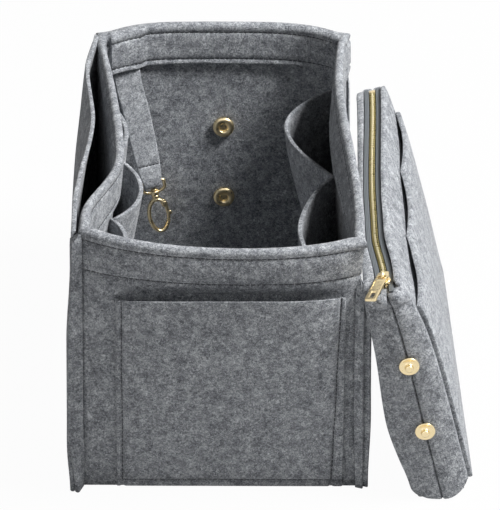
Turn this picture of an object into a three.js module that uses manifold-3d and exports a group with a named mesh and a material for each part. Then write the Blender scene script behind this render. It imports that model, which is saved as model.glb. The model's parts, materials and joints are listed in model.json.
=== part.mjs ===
// Felt purse organizer insert: a sewn felt box with inner and outer pockets, a key strap with a
// swivel clasp, and a zip pouch that leans on the box and snaps into it.
// Millimetres, +Z up. The origin is the middle of the underside of the box.
import * as THREE from 'three';
import { mergeVertices } from 'three/addons/utils/BufferGeometryUtils.js';
import Module from 'manifold-3d';

const wasm = await Module();
wasm.setup();

// Felt and sewing
const FELT = 3;
const LAYER_GAP = 0.3;
const MITRE_GAP = 0.25;
const SEAM_FLANGE = 7;
const FLANGE_ROOT = 2;
const HEM = 28;

// Box
const BOX_WIDTH = 170;
const RIM_DRAW = 10;
const BOX_LENGTH = 250;
const BOX_HEIGHT = 177;
const FRONT_SWELL = 11;
const BACK_SWELL = 18;
const LEFT_SAG = 15;
const RIGHT_SAG = 4;
const RIGHT_BELLY = 8;

// Slip pocket on the outside of the left wall
const OUTER_POCKET_DROP = 3;
const OUTER_POCKET_BELLY = 4;
const OUTER_POCKET_SAG = 3;
const OUTER_POCKET_FLARE = 3.5;

// Patch pocket on the front
const PATCH_LEFT = -62;
const PATCH_RIGHT = 77;
const PATCH_FOOT = 2;
const PATCH_TOP = 138;
const PATCH_RISE = 4;
const PATCH_MOUTH = 7;

// Pocket strips inside the box: where they are sewn down, and how far they stand out between
const STRIP_TOP = 143;
const STRIP_FOOT_SHARE = 0.3;
const LEFT_SEAMS = [-114, -49, 25, 95];
const LEFT_BULGES = [13, 13, 9];
const RIGHT_SEAMS = [-113, 1, 113];
const RIGHT_BULGES = [25, 25];

// Press fasteners
const SNAP_RADIUS = 7.1;
const SNAP_POST = 1.4;
const SNAP_FIT = 0.4;
const SOCKET_HEIGHTS = [103, 52];
const SOCKET_DEPTH = 3.2;
const SOCKET_MOUTH = 2.8;
const SOCKET_FLOOR = 1;
const SOCKET_ROUND = 1.2;
const METAL_EDGE = 0.3;
const SPRING_WIRE = 0.6;
const SPRING_RADIUS = 3.3;
const CAP_DOME = 1.8;
const STUD_RADIUS = 6;
const STUD_NUB = 2.4;
const STUD_NUB_NECK = 0.3;
const STUD_HEIGHT = 4;
const STUD_PLATE = 1.1;
const STUD_BORE = 1.6;

// Key strap
const STRAP_X = -63;
const STRAP_WIDTH = 16;
const STRAP_END_WIDTH = 12;
const STRAP_FELT = 2.5;
const STRAP_LENGTH = 86;
const STRAP_TAIL = 15;
const STRAP_STAND = 1.2;
const STRAP_YAW = THREE.MathUtils.degToRad(15);
const STRAP_TILT = THREE.MathUtils.degToRad(10);
const STRAP_ROLL = THREE.MathUtils.degToRad(7);
const STRAP_BEND = 24;

// Swivel clasp
const WIRE = 2.3;
const EYE_BAR = 2.2;
const EYE_DEPTH = 2.4;
const EYE_ROUND = 1.5;
const EYE_SLOT_HEIGHT = 5.1;
const EYE_FOOT_HALF = 2.4;
const EYE_BOSS = 3;
const EYE_SIDE_ROOM = 0.6;
const POST_RADIUS = 1.2;
const POST_HEAD_RADIUS = 2.2;
const POST_HEAD = 1.2;
const CLASP_FIT = 0.3;
const NECK_RADIUS = 2.5;
const NECK_HEIGHT = 3.4;
const HOOK_HALF_WIDTH = 7.6;
const HOOK_HALF_HEIGHT = 12.6;
const HOOK_DEPTH = 4.2;
const CHEEK = 0.7;
const GATE_TOP_ANGLE = THREE.MathUtils.degToRad(40);
const GATE_TIP_ANGLE = THREE.MathUtils.degToRad(-28);
const KNUCKLE_RADIUS = 1.8;
const PIN_RADIUS = 0.6;
const GATE_THICKNESS = 1.3;
const GATE_THUMB = 1.5;
const GATE_SPRING_WIRE = 0.5;
const GATE_SPRING_RADIUS = 1.25;

// Zip pouch
const POUCH_LENGTH = 242;
const POUCH_HEIGHT = 152;
const POUCH_TOP_HALF = 8.5;
const POUCH_LEFT_FOOT = 16;
const POUCH_RIGHT_FOOT = 19;
const POUCH_FAR_FOOT = 13;
const SHOULDER_POWER = 6;
const LEFT_POWER = 2;
const POUCH_LEAN = THREE.MathUtils.degToRad(14);
const POUCH_STAND = 3.4;
const POUCH_AHEAD = 14;
const GUSSET_DROP = 3.6;
const SLIP_DROP = 20;
const SLIP_FOOT = 4;
const SLIP_MARGIN = 7;
const SLIP_INNER_SEAMS = [-36, 40];
const SLIP_MOUTH = 4.6;
const STUD_HEIGHTS = [97, 49];

// Zip
const ZIP_DEPTH = 2.4;
const TAPE = 0.8;
const TAPE_GAP = 4.6;
const TAPE_MARGIN = 1;
const TOOTH_PITCH = 2.6;
const TOOTH_HEIGHT = 1.7;
const TOOTH_REACH = 0.75;
const CHAIN_HALF = 2;
const SPINE = 0.9;
const STOP_LENGTH = 3;
const SLIDER_LENGTH = 12;
const SLIDER_NOSE_WIDTH = 8.4;
const SLIDER_TAIL_WIDTH = 6.8;
const SLIDER_PLATE = 1.6;
const BAIL_INNER = 1.6;
const BAIL_OUTER = 2.8;
const BAIL_WIDTH = 1.8;
const BAIL_LIFT = 1.2;
const PULL_YAW = THREE.MathUtils.degToRad(20);
const PULL_LENGTH = 25;
const PULL_WIDTH = 7;
const PULL_THICKNESS = 1.4;
const PULL_EYE_BAR = 1.1;
const PULL_EYE_LENGTH = 3.2;
const PULL_EYE_WIDTH = 4.6;
const PULL_RIM = 1.1;
const PULL_RECESS = 0.35;
const PULL_SLOT_LENGTH = 6;
const PULL_SLOT_WIDTH = 2.6;

const FELT_GREY = { color: 0x6f6f70, roughness: 0.95, metalness: 0 };
const TAPE_GREY = { color: 0x3c3d40, roughness: 0.9, metalness: 0 };
const PALE_GOLD = { color: 0xd9c08c, roughness: 0.28, metalness: 1 };
const SPRING_STEEL = { color: 0xa9abad, roughness: 0.4, metalness: 1 };

// Keeps only the positions of a geometry, shares its vertices and turns its faces outwards
function closed(geometry) {
  const bare = new THREE.BufferGeometry();
  bare.setAttribute('position', geometry.attributes.position.clone());
  if (geometry.index) {
    bare.setIndex(geometry.index.clone());
  }
  const merged = mergeVertices(bare, 1e-4);
  const position = merged.attributes.position;
  const index = merged.index.array;
  const corners = [new THREE.Vector3(), new THREE.Vector3(), new THREE.Vector3()];
  const kept = [];
  let volume = 0;
  for (let i = 0; i < index.length; i += 3) {
    const triangle = [index[i], index[i + 1], index[i + 2]];
    if (new Set(triangle).size === 3) {
      corners.forEach((corner, k) => corner.fromBufferAttribute(position, triangle[k]));
      volume += corners[0].dot(corners[1].clone().cross(corners[2]));
      kept.push(triangle);
    }
  }
  merged.setIndex(kept.flatMap(([a, b, c]) => (volume < 0 ? [a, c, b] : [a, b, c])));
  return merged;
}

function toSolid(geometry) {
  const shape = closed(geometry);
  return new wasm.Manifold(new wasm.Mesh({
    numProp: 3,
    vertProperties: new Float32Array(shape.attributes.position.array),
    triVerts: new Uint32Array(shape.index.array),
  }));
}

function toGeometry(solid) {
  const result = solid.getMesh();
  const geometry = new THREE.BufferGeometry();
  geometry.setAttribute('position', new THREE.BufferAttribute(new Float32Array(result.vertProperties), 3));
  geometry.setIndex(new THREE.BufferAttribute(new Uint32Array(result.triVerts), 1));
  return geometry;
}

const joined = (first, ...others) =>
  toGeometry(others.reduce((solid, other) => solid.add(toSolid(other)), toSolid(first)));

const cut = (first, ...others) =>
  toGeometry(others.reduce((solid, other) => solid.subtract(toSolid(other)), toSolid(first)));

const common = (first, other) => toGeometry(toSolid(first).intersect(toSolid(other)));

function addPiece(parent, name, geometry, finish) {
  const shape = closed(geometry);
  shape.computeVertexNormals();
  const piece = new THREE.Mesh(shape, new THREE.MeshStandardMaterial(finish));
  piece.name = name;
  parent.add(piece);
  return piece;
}

// Maps a subdivided slab through place(u, v, w, point), with u, v and w running from 0 to 1
function mappedSlab(uSteps, vSteps, place) {
  const geometry = new THREE.BoxGeometry(1, 1, 1, uSteps, vSteps, 1);
  const position = geometry.attributes.position;
  const point = new THREE.Vector3();
  for (let i = 0; i < position.count; i += 1) {
    place(position.getX(i) + 0.5, position.getY(i) + 0.5, position.getZ(i) + 0.5, point);
    position.setXYZ(i, point.x, point.y, point.z);
  }
  return closed(geometry);
}

// A plain block from its lowest to its highest corner
function block(low, high) {
  const size = high.map((value, k) => value - low[k]);
  const geometry = new THREE.BoxGeometry(...size);
  return geometry.translate(...low.map((value, k) => value + size[k] / 2));
}

// A turned solid about Z from [radius, height] points
function turned(points, segments = 20) {
  const profile = points.map(([radius, height]) => new THREE.Vector2(radius, height));
  return new THREE.LatheGeometry(profile, segments).rotateX(Math.PI / 2);
}

const rod = (radius, bottom, top, segments = 18) =>
  turned([[0, bottom], [radius, bottom], [radius, top], [0, top]], segments);

// A flat outline in the XZ plane, given depth along Y and centred on it
function plate(shape, depth, options = {}) {
  const geometry = new THREE.ExtrudeGeometry(shape, { depth, bevelEnabled: false, ...options });
  return geometry.translate(0, 0, -depth / 2).rotateX(Math.PI / 2);
}

const lerp = THREE.MathUtils.lerp;

// Box walls: each runs along one side, its reach is half the distance across, and it swells out or
// sags in between its corners, fully at the rim and not at all at the base; a belly is below the hem
const flatBow = (u) => 1 - (2 * u - 1) ** 4;
const roundBow = (u) => Math.sin(Math.PI * u);
const skewBow = (u) => Math.sin(Math.PI * u * u);
const WALL_ROWS = [0, 0.28, 0.56, 0.8];
const BELLIED_ROWS = [0, 0.2, 0.4, 0.55, 0.68, 0.8];
const endWall = {
  alongX: true, run: BOX_WIDTH, reach: BOX_LENGTH / 2, bow: flatBow, belly: 0, rows: WALL_ROWS,
};
const sideWall = { ...endWall, alongX: false, run: BOX_LENGTH, reach: BOX_WIDTH / 2 };
const FRONT = { ...endWall, sign: -1, swell: FRONT_SWELL };
const BACK = { ...endWall, sign: 1, swell: BACK_SWELL };
const LEFT = { ...sideWall, sign: -1, swell: -LEFT_SAG, bow: roundBow };
const RIGHT = {
  ...sideWall, sign: 1, swell: -RIGHT_SAG, bow: skewBow, belly: -RIGHT_BELLY, rows: BELLIED_ROWS,
};

// The rim is drawn in towards the middle of the box
const drawIn = (z) => 1 - (RIM_DRAW / BOX_WIDTH) * (z / BOX_HEIGHT);

const halfRun = (wall, depth) => wall.run / 2 - depth - MITRE_GAP;

// Distance of a wall's felt from the middle of the box, at a place along it, a depth in and a height
function wallOut(wall, along, depth, z) {
  const u = THREE.MathUtils.clamp((along / halfRun(wall, depth) + 1) / 2, 0, 1);
  const belly = wall.belly * roundBow(u) * Math.sin(Math.PI * (z / BOX_HEIGHT) ** 2);
  return wall.reach - depth + wall.swell * wall.bow(u) * (z / BOX_HEIGHT) + belly;
}

function setOnWall(point, wall, along, out, z) {
  const x = wall.alongX ? along : wall.sign * out;
  const y = wall.alongX ? wall.sign * out : along;
  point.set(x * drawIn(z), y, z);
}

// The felt of a wall goes up, folds in over the rim and comes down as a hem: stations on its middle
// layer, each with the direction of its outer face
function hemmedPath(wall) {
  const radius = (FELT + LAYER_GAP) / 2;
  const foldZ = BOX_HEIGHT - radius - FELT / 2;
  const foldDepth = FELT / 2 + radius;
  const path = wall.rows.map((share) => ({ depth: FELT / 2, z: share * foldZ, outDepth: -1, outZ: 0 }));
  const arcSteps = 4;
  for (let k = 0; k <= arcSteps; k += 1) {
    const angle = (Math.PI * k) / arcSteps;
    const outDepth = -Math.cos(angle);
    const outZ = Math.sin(angle);
    path.push({ depth: foldDepth + radius * outDepth, z: foldZ + radius * outZ, outDepth, outZ });
  }
  path.push({ depth: foldDepth + radius, z: BOX_HEIGHT - HEM, outDepth: 1, outZ: 0 });
  return path;
}

const WALL_STEPS = 16;

function wallPanel(wall) {
  const path = hemmedPath(wall);
  return mappedSlab(WALL_STEPS, path.length - 1, (u, v, w, point) => {
    const station = path[Math.round(v * (path.length - 1))];
    const offset = (0.5 - w) * FELT;
    const depth = station.depth + station.outDepth * offset;
    const z = station.z + station.outZ * offset;
    const along = (2 * u - 1) * halfRun(wall, depth);
    setOnWall(point, wall, along, wallOut(wall, along, depth, z), z);
  });
}

// Pouch sections: half-widths of its two sides at a height
const pouchLeft = (z) => lerp(POUCH_LEFT_FOOT, POUCH_TOP_HALF, (z / POUCH_HEIGHT) ** LEFT_POWER);
const rightFoot = (y) => lerp(POUCH_RIGHT_FOOT, POUCH_FAR_FOOT, y / POUCH_LENGTH + 0.5);
const pouchRight = (z, y) => lerp(rightFoot(y), POUCH_TOP_HALF, (z / POUCH_HEIGHT) ** SHOULDER_POWER);
const POUCH_X = BOX_WIDTH / 2 + POUCH_STAND + BOX_HEIGHT * Math.tan(POUCH_LEAN);
const POUCH_Y = (POUCH_LENGTH - BOX_LENGTH) / 2 - POUCH_AHEAD;
const POUCH_Z = POUCH_LEFT_FOOT * Math.sin(POUCH_LEAN);

// Where the leaning pouch's left face stands at a height of the box
function pouchFaceX(z) {
  let local = z;
  for (let pass = 0; pass < 6; pass += 1) {
    local = (z - POUCH_Z + pouchLeft(local) * Math.sin(POUCH_LEAN)) / Math.cos(POUCH_LEAN);
    local = THREE.MathUtils.clamp(local, 0, POUCH_HEIGHT);
  }
  return POUCH_X - pouchLeft(local) * Math.cos(POUCH_LEAN) - local * Math.sin(POUCH_LEAN);
}

// Sewn corner flanges stand out diagonally; side is 1 for the side wall's half, -1 for the end wall's
const FLANGE_FACE = MITRE_GAP / Math.SQRT2;
const FLANGE_TOP = BOX_HEIGHT - HEM - FELT;

function cornerFlange(signX, signY, side, top, reachAt) {
  const steps = 6;
  return mappedSlab(1, steps, (u, v, w, point) => {
    const z = v * top;
    const out = lerp(-FLANGE_ROOT, reachAt(z), u);
    const across = side * (FLANGE_FACE + w * FELT);
    const x = BOX_WIDTH / 2 + (out + across) / Math.SQRT2;
    const y = BOX_LENGTH / 2 + (out - across) / Math.SQRT2;
    point.set(signX * x * drawIn(z), signY * y, z);
  });
}

const fullReach = () => SEAM_FLANGE;

// The front right flange gives way to the pouch that leans on it
function leaningReach(z) {
  const room = pouchFaceX(z) / drawIn(z) - BOX_WIDTH / 2 - LAYER_GAP;
  return Math.min(SEAM_FLANGE, room * Math.SQRT2 - FELT - FLANGE_FACE);
}

const CORNERS = {
  frontLeft: (side) => cornerFlange(-1, -1, side, BOX_HEIGHT - FELT, fullReach),
  frontRight: (side) => cornerFlange(1, -1, side, FLANGE_TOP, leaningReach),
  backLeft: (side) => cornerFlange(-1, 1, side, FLANGE_TOP, fullReach),
  backRight: (side) => cornerFlange(1, 1, side, FLANGE_TOP, fullReach),
};

function basePanel() {
  return mappedSlab(2, 12, (u, v, w, point) => {
    const z = w * FELT;
    const y = lerp(-1, 1, v) * (BOX_LENGTH / 2 - FELT - LAYER_GAP);
    const left = -wallOut(LEFT, y, FELT, z) + LAYER_GAP;
    const right = wallOut(RIGHT, y, FELT, z) - LAYER_GAP;
    point.set(lerp(left, right, u) * drawIn(z), y, z);
  });
}

function outerPocketPanel() {
  const top = BOX_HEIGHT - OUTER_POCKET_DROP;
  const flangeRoom = (FLANGE_FACE + FELT + LAYER_GAP) * Math.SQRT2;
  return mappedSlab(14, 6, (u, v, w, point) => {
    const z = v * top;
    const stand = LAYER_GAP + w * FELT;
    const along = (2 * u - 1) * (BOX_LENGTH / 2 + stand - flangeRoom);
    const belly = OUTER_POCKET_BELLY * Math.sin(Math.PI * (z / BOX_HEIGHT));
    const sag = OUTER_POCKET_SAG * (z / BOX_HEIGHT) ** 3;
    const flare = OUTER_POCKET_FLARE * u ** 2;
    setOnWall(point, LEFT, along, LEFT.reach + stand + flare + (belly - sag) * roundBow(u), z);
  });
}

function patchPocket() {
  return mappedSlab(14, 5, (u, v, w, point) => {
    const z = lerp(PATCH_FOOT, PATCH_TOP + PATCH_RISE * roundBow(u), v);
    const along = lerp(PATCH_LEFT, PATCH_RIGHT, u);
    const open = PATCH_MOUTH * roundBow(u) ** 0.7 * v ** 1.4;
    setOnWall(point, FRONT, along, wallOut(FRONT, along, 0, z) + LAYER_GAP + open + w * FELT, z);
  });
}

// How far a pocket strip stands out, with its seams and its bulges between them
function bulgeAt(along, seams, bulges) {
  const last = bulges.length - 1;
  const k = Math.min(last, Math.max(0, seams.findIndex((seam) => seam > along) - 1));
  const pocket = along >= seams[seams.length - 1] ? last : k;
  const share = (along - seams[pocket]) / (seams[pocket + 1] - seams[pocket]);
  return bulges[pocket] * Math.sin(Math.PI * THREE.MathUtils.clamp(share, 0, 1)) ** 0.8;
}

function pocketStrip(wall, seams, bulges) {
  const perPocket = 7;
  const stations = bulges.flatMap((_, k) =>
    Array.from({ length: perPocket }, (__, i) => lerp(seams[k], seams[k + 1], i / perPocket)));
  stations.push(seams[seams.length - 1]);
  const foot = FELT + LAYER_GAP;
  const foldZ = BOX_HEIGHT - FELT - LAYER_GAP / 2;
  const inner = wall.rows.map((share) => share * foldZ).filter((z) => z > foot && z < STRIP_TOP);
  const rows = [foot, ...inner, STRIP_TOP];
  return mappedSlab(stations.length - 1, rows.length - 1, (u, k, w, point) => {
    const z = rows[Math.round(k * (rows.length - 1))];
    const v = (z - foot) / (STRIP_TOP - foot);
    const along = stations[Math.round(u * (stations.length - 1))];
    const stand = bulgeAt(along, seams, bulges) * lerp(STRIP_FOOT_SHARE, 1, v);
    setOnWall(point, wall, along, wallOut(wall, along, FELT, z) - LAYER_GAP - stand - w * FELT, z);
  });
}

const organizer = new THREE.Group();

// Press fasteners: Z points out of the felt face that carries them, which is at zero
const POST_HOLE = SNAP_POST + SNAP_FIT;

function snapSocket() {
  const seat = LAYER_GAP;
  const grooveLow = seat + SOCKET_FLOOR;
  const grooveHigh = grooveLow + SPRING_WIRE + 2 * LAYER_GAP;
  const grooveRadius = SPRING_RADIUS + SPRING_WIRE / 2 + LAYER_GAP;
  const crown = seat + SOCKET_DEPTH;
  return turned([
    [POST_HOLE, seat],
    [SNAP_RADIUS - METAL_EDGE, seat],
    [SNAP_RADIUS, seat + METAL_EDGE],
    [SNAP_RADIUS - METAL_EDGE, crown - SOCKET_ROUND],
    [SNAP_RADIUS - SOCKET_ROUND, crown - METAL_EDGE],
    [SNAP_RADIUS - 2 * SOCKET_ROUND, crown],
    [SOCKET_MOUTH + METAL_EDGE, crown - METAL_EDGE],
    [SOCKET_MOUTH, crown - 2 * METAL_EDGE],
    [SOCKET_MOUTH, grooveHigh],
    [grooveRadius, grooveHigh],
    [grooveRadius, grooveLow],
    [POST_HOLE, grooveLow],
    [POST_HOLE, seat],
  ]);
}

// A back cap with the post that goes through the felt into the piece on the other side
function snapBack(radius, postTop) {
  const seat = -FELT - LAYER_GAP;
  return turned([
    [0, seat - CAP_DOME],
    [radius * 0.55, seat - CAP_DOME * 0.85],
    [radius * 0.9, seat - CAP_DOME * 0.45],
    [radius, seat],
    [SNAP_POST, seat],
    [SNAP_POST, postTop],
    [0, postTop],
  ]);
}

// An open ring of spring wire lying flat at a height
function openRing(radius, wire, z, openAngle) {
  const curve = new THREE.CatmullRomCurve3(Array.from({ length: 9 }, (_, i) => {
    const angle = openAngle / 2 + ((2 * Math.PI - openAngle) * i) / 8;
    return new THREE.Vector3(radius * Math.cos(angle), radius * Math.sin(angle), z);
  }));
  const section = new THREE.Shape();
  section.absarc(0, 0, wire / 2, 0, 2 * Math.PI);
  return new THREE.ExtrudeGeometry(section, { steps: 11, curveSegments: 3, extrudePath: curve });
}

function snapStud() {
  const seat = LAYER_GAP;
  const boreTop = seat + STUD_BORE;
  const crown = seat + STUD_HEIGHT;
  const plateTop = seat + STUD_PLATE;
  return turned([
    [POST_HOLE, seat],
    [STUD_RADIUS - METAL_EDGE, seat],
    [STUD_RADIUS, seat + METAL_EDGE],
    [STUD_RADIUS - METAL_EDGE, plateTop - METAL_EDGE],
    [STUD_NUB + STUD_PLATE, plateTop],
    [STUD_NUB, plateTop + 2 * METAL_EDGE],
    [STUD_NUB - STUD_NUB_NECK, lerp(plateTop, crown, 0.4)],
    [STUD_NUB, lerp(plateTop, crown, 0.65)],
    [STUD_NUB - METAL_EDGE, crown - METAL_EDGE],
    [0, crown],
    [0, boreTop],
    [POST_HOLE, boreTop],
    [POST_HOLE, seat],
  ]);
}

const backSlope = Math.atan2(BACK_SWELL, BOX_HEIGHT);

function backSnapFrame(z) {
  const frame = new THREE.Group();
  frame.position.set(0, wallOut(BACK, 0, FELT, z), z);
  frame.rotation.x = Math.PI / 2 - backSlope;
  frame.updateMatrix();
  return frame;
}

const postCut = () => rod(POST_HOLE, -2 * FELT, FELT);

// Walls, base and pockets of the box
addPiece(organizer, 'base_panel', basePanel(), FELT_GREY);
addPiece(organizer, 'front_end_panel',
  joined(wallPanel(FRONT), CORNERS.frontLeft(-1), CORNERS.frontRight(-1)), FELT_GREY);
addPiece(organizer, 'left_side_panel',
  joined(wallPanel(LEFT), CORNERS.frontLeft(1), CORNERS.backLeft(1)), FELT_GREY);
addPiece(organizer, 'right_side_panel',
  joined(wallPanel(RIGHT), CORNERS.frontRight(1), CORNERS.backRight(1)), FELT_GREY);
const snapFrames = SOCKET_HEIGHTS.map(backSnapFrame);
addPiece(organizer, 'back_end_panel', cut(
  joined(wallPanel(BACK), CORNERS.backLeft(-1), CORNERS.backRight(-1)),
  ...snapFrames.map((frame) => postCut().applyMatrix4(frame.matrix)),
), FELT_GREY);
addPiece(organizer, 'left_outer_pocket_panel', outerPocketPanel(), FELT_GREY);
addPiece(organizer, 'front_patch_pocket', patchPocket(), FELT_GREY);
addPiece(organizer, 'left_inner_pocket_strip', pocketStrip(LEFT, LEFT_SEAMS, LEFT_BULGES), FELT_GREY);
addPiece(organizer, 'right_inner_pocket_strip', pocketStrip(RIGHT, RIGHT_SEAMS, RIGHT_BULGES), FELT_GREY);

['upper', 'lower'].forEach((place, k) => {
  const frame = snapFrames[k];
  const springZ = SOCKET_FLOOR + 2 * LAYER_GAP + SPRING_WIRE / 2;
  addPiece(frame, `${place}_snap_socket`, snapSocket(), PALE_GOLD);
  addPiece(frame, `${place}_snap_cap`, snapBack(SNAP_RADIUS, SOCKET_FLOOR), PALE_GOLD);
  addPiece(frame, `${place}_snap_spring`, openRing(SPRING_RADIUS, SPRING_WIRE, springZ, 1), SPRING_STEEL);
  organizer.add(frame);
});

// Key strap: hangs from its hinge line under the hem of the back wall, along -Z, and its end is
// turned round the bar of the clasp's eye and sewn to itself
const HINGE_DROP = STRAP_FELT / 2 + LAYER_GAP;
const strapLoop = Math.hypot(EYE_BAR, EYE_DEPTH) / 2 + CLASP_FIT + STRAP_FELT / 2;
const loopZ = -(STRAP_LENGTH - strapLoop - STRAP_FELT / 2);

function strapPath() {
  const half = STRAP_FELT / 2;
  const path = [
    { y: 0, z: half * 0.85, half: half * 0.4, outY: -1, outZ: 0 },
    { y: 0, z: half * 0.4, half: half * 0.85, outY: -1, outZ: 0 },
  ];
  path.push({ y: 0, z: 0, half, outY: -1, outZ: 0 });
  [0.33, 0.67, 1].forEach((share) => path.push({ y: 0, z: -share * STRAP_BEND, half, outY: -1, outZ: 0 }));
  const arcSteps = 6;
  for (let k = 0; k <= arcSteps; k += 1) {
    const angle = (Math.PI * k) / arcSteps;
    const outY = -Math.cos(angle);
    const outZ = -Math.sin(angle);
    path.push({ y: strapLoop + strapLoop * outY, z: loopZ + strapLoop * outZ, half, outY, outZ });
  }
  path.push({ y: STRAP_FELT + LAYER_GAP, z: loopZ + STRAP_TAIL * 0.6, half, outY: 1, outZ: 0 });
  path.push({ y: STRAP_FELT + LAYER_GAP, z: loopZ + STRAP_TAIL, half, outY: 1, outZ: 0 });
  return path;
}

// The strap leans over sideways within its first stretch, and runs straight from there on
function keyStrap() {
  const path = strapPath();
  return mappedSlab(2, path.length - 1, (u, v, w, point) => {
    const station = path[Math.round(v * (path.length - 1))];
    const offset = (1 - 2 * w) * station.half;
    const share = THREE.MathUtils.clamp(station.z / loopZ, 0, 1);
    const x = (u - 0.5) * lerp(STRAP_WIDTH, STRAP_END_WIDTH, share ** 2);
    const z = station.z + station.outZ * offset;
    const roll = STRAP_ROLL * THREE.MathUtils.clamp(-z / STRAP_BEND, 0, 1);
    point.set(
      x * Math.cos(roll) - z * Math.sin(roll),
      station.y + station.outY * offset,
      x * Math.sin(roll) + z * Math.cos(roll),
    );
  });
}

const strap = new THREE.Group();
const hingeZ = BOX_HEIGHT - HEM - HINGE_DROP;
const strapDepth = FELT + LAYER_GAP + STRAP_FELT / 2 + STRAP_STAND;
strap.position.set(STRAP_X * drawIn(hingeZ), wallOut(BACK, STRAP_X, strapDepth, hingeZ), hingeZ);
strap.rotation.set(-STRAP_TILT, 0, STRAP_YAW, 'ZXY');
organizer.add(strap);
addPiece(strap, 'key_strap', keyStrap(), FELT_GREY);

// Swivel clasp: its origin is the middle of the eye's bar, and it hangs along -Z
const clasp = new THREE.Group();
clasp.position.set(-loopZ * Math.sin(STRAP_ROLL), strapLoop, loopZ * Math.cos(STRAP_ROLL));
clasp.rotation.y = -STRAP_ROLL;
strap.add(clasp);

const slotTop = -EYE_BAR / 2;
const slotBottom = slotTop - EYE_SLOT_HEIGHT;
const slotHalf = STRAP_END_WIDTH / 2 + EYE_SIDE_ROOM;
const eyeBottom = slotBottom - EYE_BOSS;

function claspEye() {
  const shoulder = slotTop - STRAP_FELT - 2 * CLASP_FIT;
  const outline = new THREE.Shape();
  const outerHalf = slotHalf + EYE_BAR;
  outline.moveTo(outerHalf - EYE_ROUND, EYE_BAR / 2);
  outline.lineTo(EYE_ROUND - outerHalf, EYE_BAR / 2);
  outline.quadraticCurveTo(-outerHalf, EYE_BAR / 2, -outerHalf, EYE_BAR / 2 - EYE_ROUND);
  outline.lineTo(-outerHalf, shoulder);
  outline.quadraticCurveTo(-outerHalf, slotBottom, -EYE_BOSS, eyeBottom);
  outline.lineTo(EYE_BOSS, eyeBottom);
  outline.quadraticCurveTo(outerHalf, slotBottom, outerHalf, shoulder);
  outline.lineTo(outerHalf, EYE_BAR / 2 - EYE_ROUND);
  outline.quadraticCurveTo(outerHalf, EYE_BAR / 2, outerHalf - EYE_ROUND, EYE_BAR / 2);
  const slot = new THREE.Path();
  slot.moveTo(-slotHalf, slotTop);
  slot.lineTo(slotHalf, slotTop);
  slot.lineTo(slotHalf, shoulder);
  slot.quadraticCurveTo(slotHalf, slotBottom, EYE_FOOT_HALF, slotBottom);
  slot.lineTo(-EYE_FOOT_HALF, slotBottom);
  slot.quadraticCurveTo(-slotHalf, slotBottom, -slotHalf, shoulder);
  slot.lineTo(-slotHalf, slotTop);
  outline.holes.push(slot);
  const frame = plate(outline, EYE_DEPTH, { curveSegments: 5 });
  const boss = rod(EYE_BOSS, eyeBottom, slotBottom);
  return cut(joined(frame, boss), rod(POST_RADIUS + CLASP_FIT, eyeBottom - 1, slotBottom + 1));
}
addPiece(clasp, 'clasp_swivel_eye', claspEye(), PALE_GOLD);

// Hook: an oval ring under a turned neck, with one side opened for the gate
const neckTop = eyeBottom - CLASP_FIT;
const neckBottom = neckTop - NECK_HEIGHT;
const hookCentre = neckBottom + WIRE / 2 - HOOK_HALF_HEIGHT;
const headLow = slotBottom + CLASP_FIT;
const boreBottom = neckTop - NECK_HEIGHT * 0.7;

function ovalRing(depth) {
  const outline = new THREE.Shape();
  outline.absellipse(0, hookCentre, HOOK_HALF_WIDTH, HOOK_HALF_HEIGHT, 0, 2 * Math.PI);
  const hole = new THREE.Path();
  hole.absellipse(0, hookCentre, HOOK_HALF_WIDTH - WIRE, HOOK_HALF_HEIGHT - WIRE, 0, 2 * Math.PI);
  outline.holes.push(hole);
  return plate(outline, depth, { curveSegments: 16 });
}

const ringMiddle = (angle) => new THREE.Vector2(
  (HOOK_HALF_WIDTH - WIRE / 2) * Math.cos(angle),
  hookCentre + (HOOK_HALF_HEIGHT - WIRE / 2) * Math.sin(angle),
);
const gatePivot = ringMiddle(GATE_TOP_ANGLE);

// The stretch of the ring that the gate closes: level at its tip, so that the tip swings in freely,
// and radial at its pivot
function gateStretch(tipGap) {
  const tip = ringMiddle(GATE_TIP_ANGLE).y + tipGap;
  const top = new THREE.Vector2(0, hookCentre).lerp(gatePivot, 2);
  const outline = new THREE.Shape();
  outline.moveTo(0, tip);
  outline.lineTo(2 * HOOK_HALF_WIDTH, tip);
  outline.lineTo(2 * HOOK_HALF_WIDTH, top.y);
  outline.lineTo(top.x, top.y);
  outline.lineTo(0, hookCentre);
  return plate(outline, 2 * HOOK_DEPTH);
}

const disc = (radius, low, high) =>
  rod(radius, low, high).rotateX(-Math.PI / 2).translate(gatePivot.x, 0, gatePivot.y);

function claspHook() {
  const ears = disc(KNUCKLE_RADIUS + CLASP_FIT, -HOOK_DEPTH / 2, HOOK_DEPTH / 2);
  const fork = disc(KNUCKLE_RADIUS + 2 * CLASP_FIT, CHEEK - HOOK_DEPTH / 2, HOOK_DEPTH / 2 - CHEEK);
  const pinHole = disc(PIN_RADIUS + CLASP_FIT, -HOOK_DEPTH, HOOK_DEPTH);
  const neck = rod(NECK_RADIUS, neckBottom - WIRE / 2, neckTop);
  const bore = rod(POST_RADIUS + CLASP_FIT, boreBottom, neckTop + 1);
  return cut(joined(cut(joined(ovalRing(HOOK_DEPTH), neck), gateStretch(0)), ears), fork, pinHole, bore);
}

const hook = new THREE.Group();
clasp.add(hook);
addPiece(hook, 'clasp_hook', claspHook(), PALE_GOLD);
addPiece(hook, 'clasp_swivel_rivet', joined(
  rod(POST_HEAD_RADIUS, headLow, headLow + POST_HEAD),
  rod(POST_RADIUS, boreBottom + CLASP_FIT, headLow + POST_HEAD / 2),
), PALE_GOLD);
addPiece(hook, 'clasp_gate_pin', disc(PIN_RADIUS, -HOOK_DEPTH / 2, HOOK_DEPTH / 2), PALE_GOLD);

const gateLow = CHEEK + CLASP_FIT - HOOK_DEPTH / 2;

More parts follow.
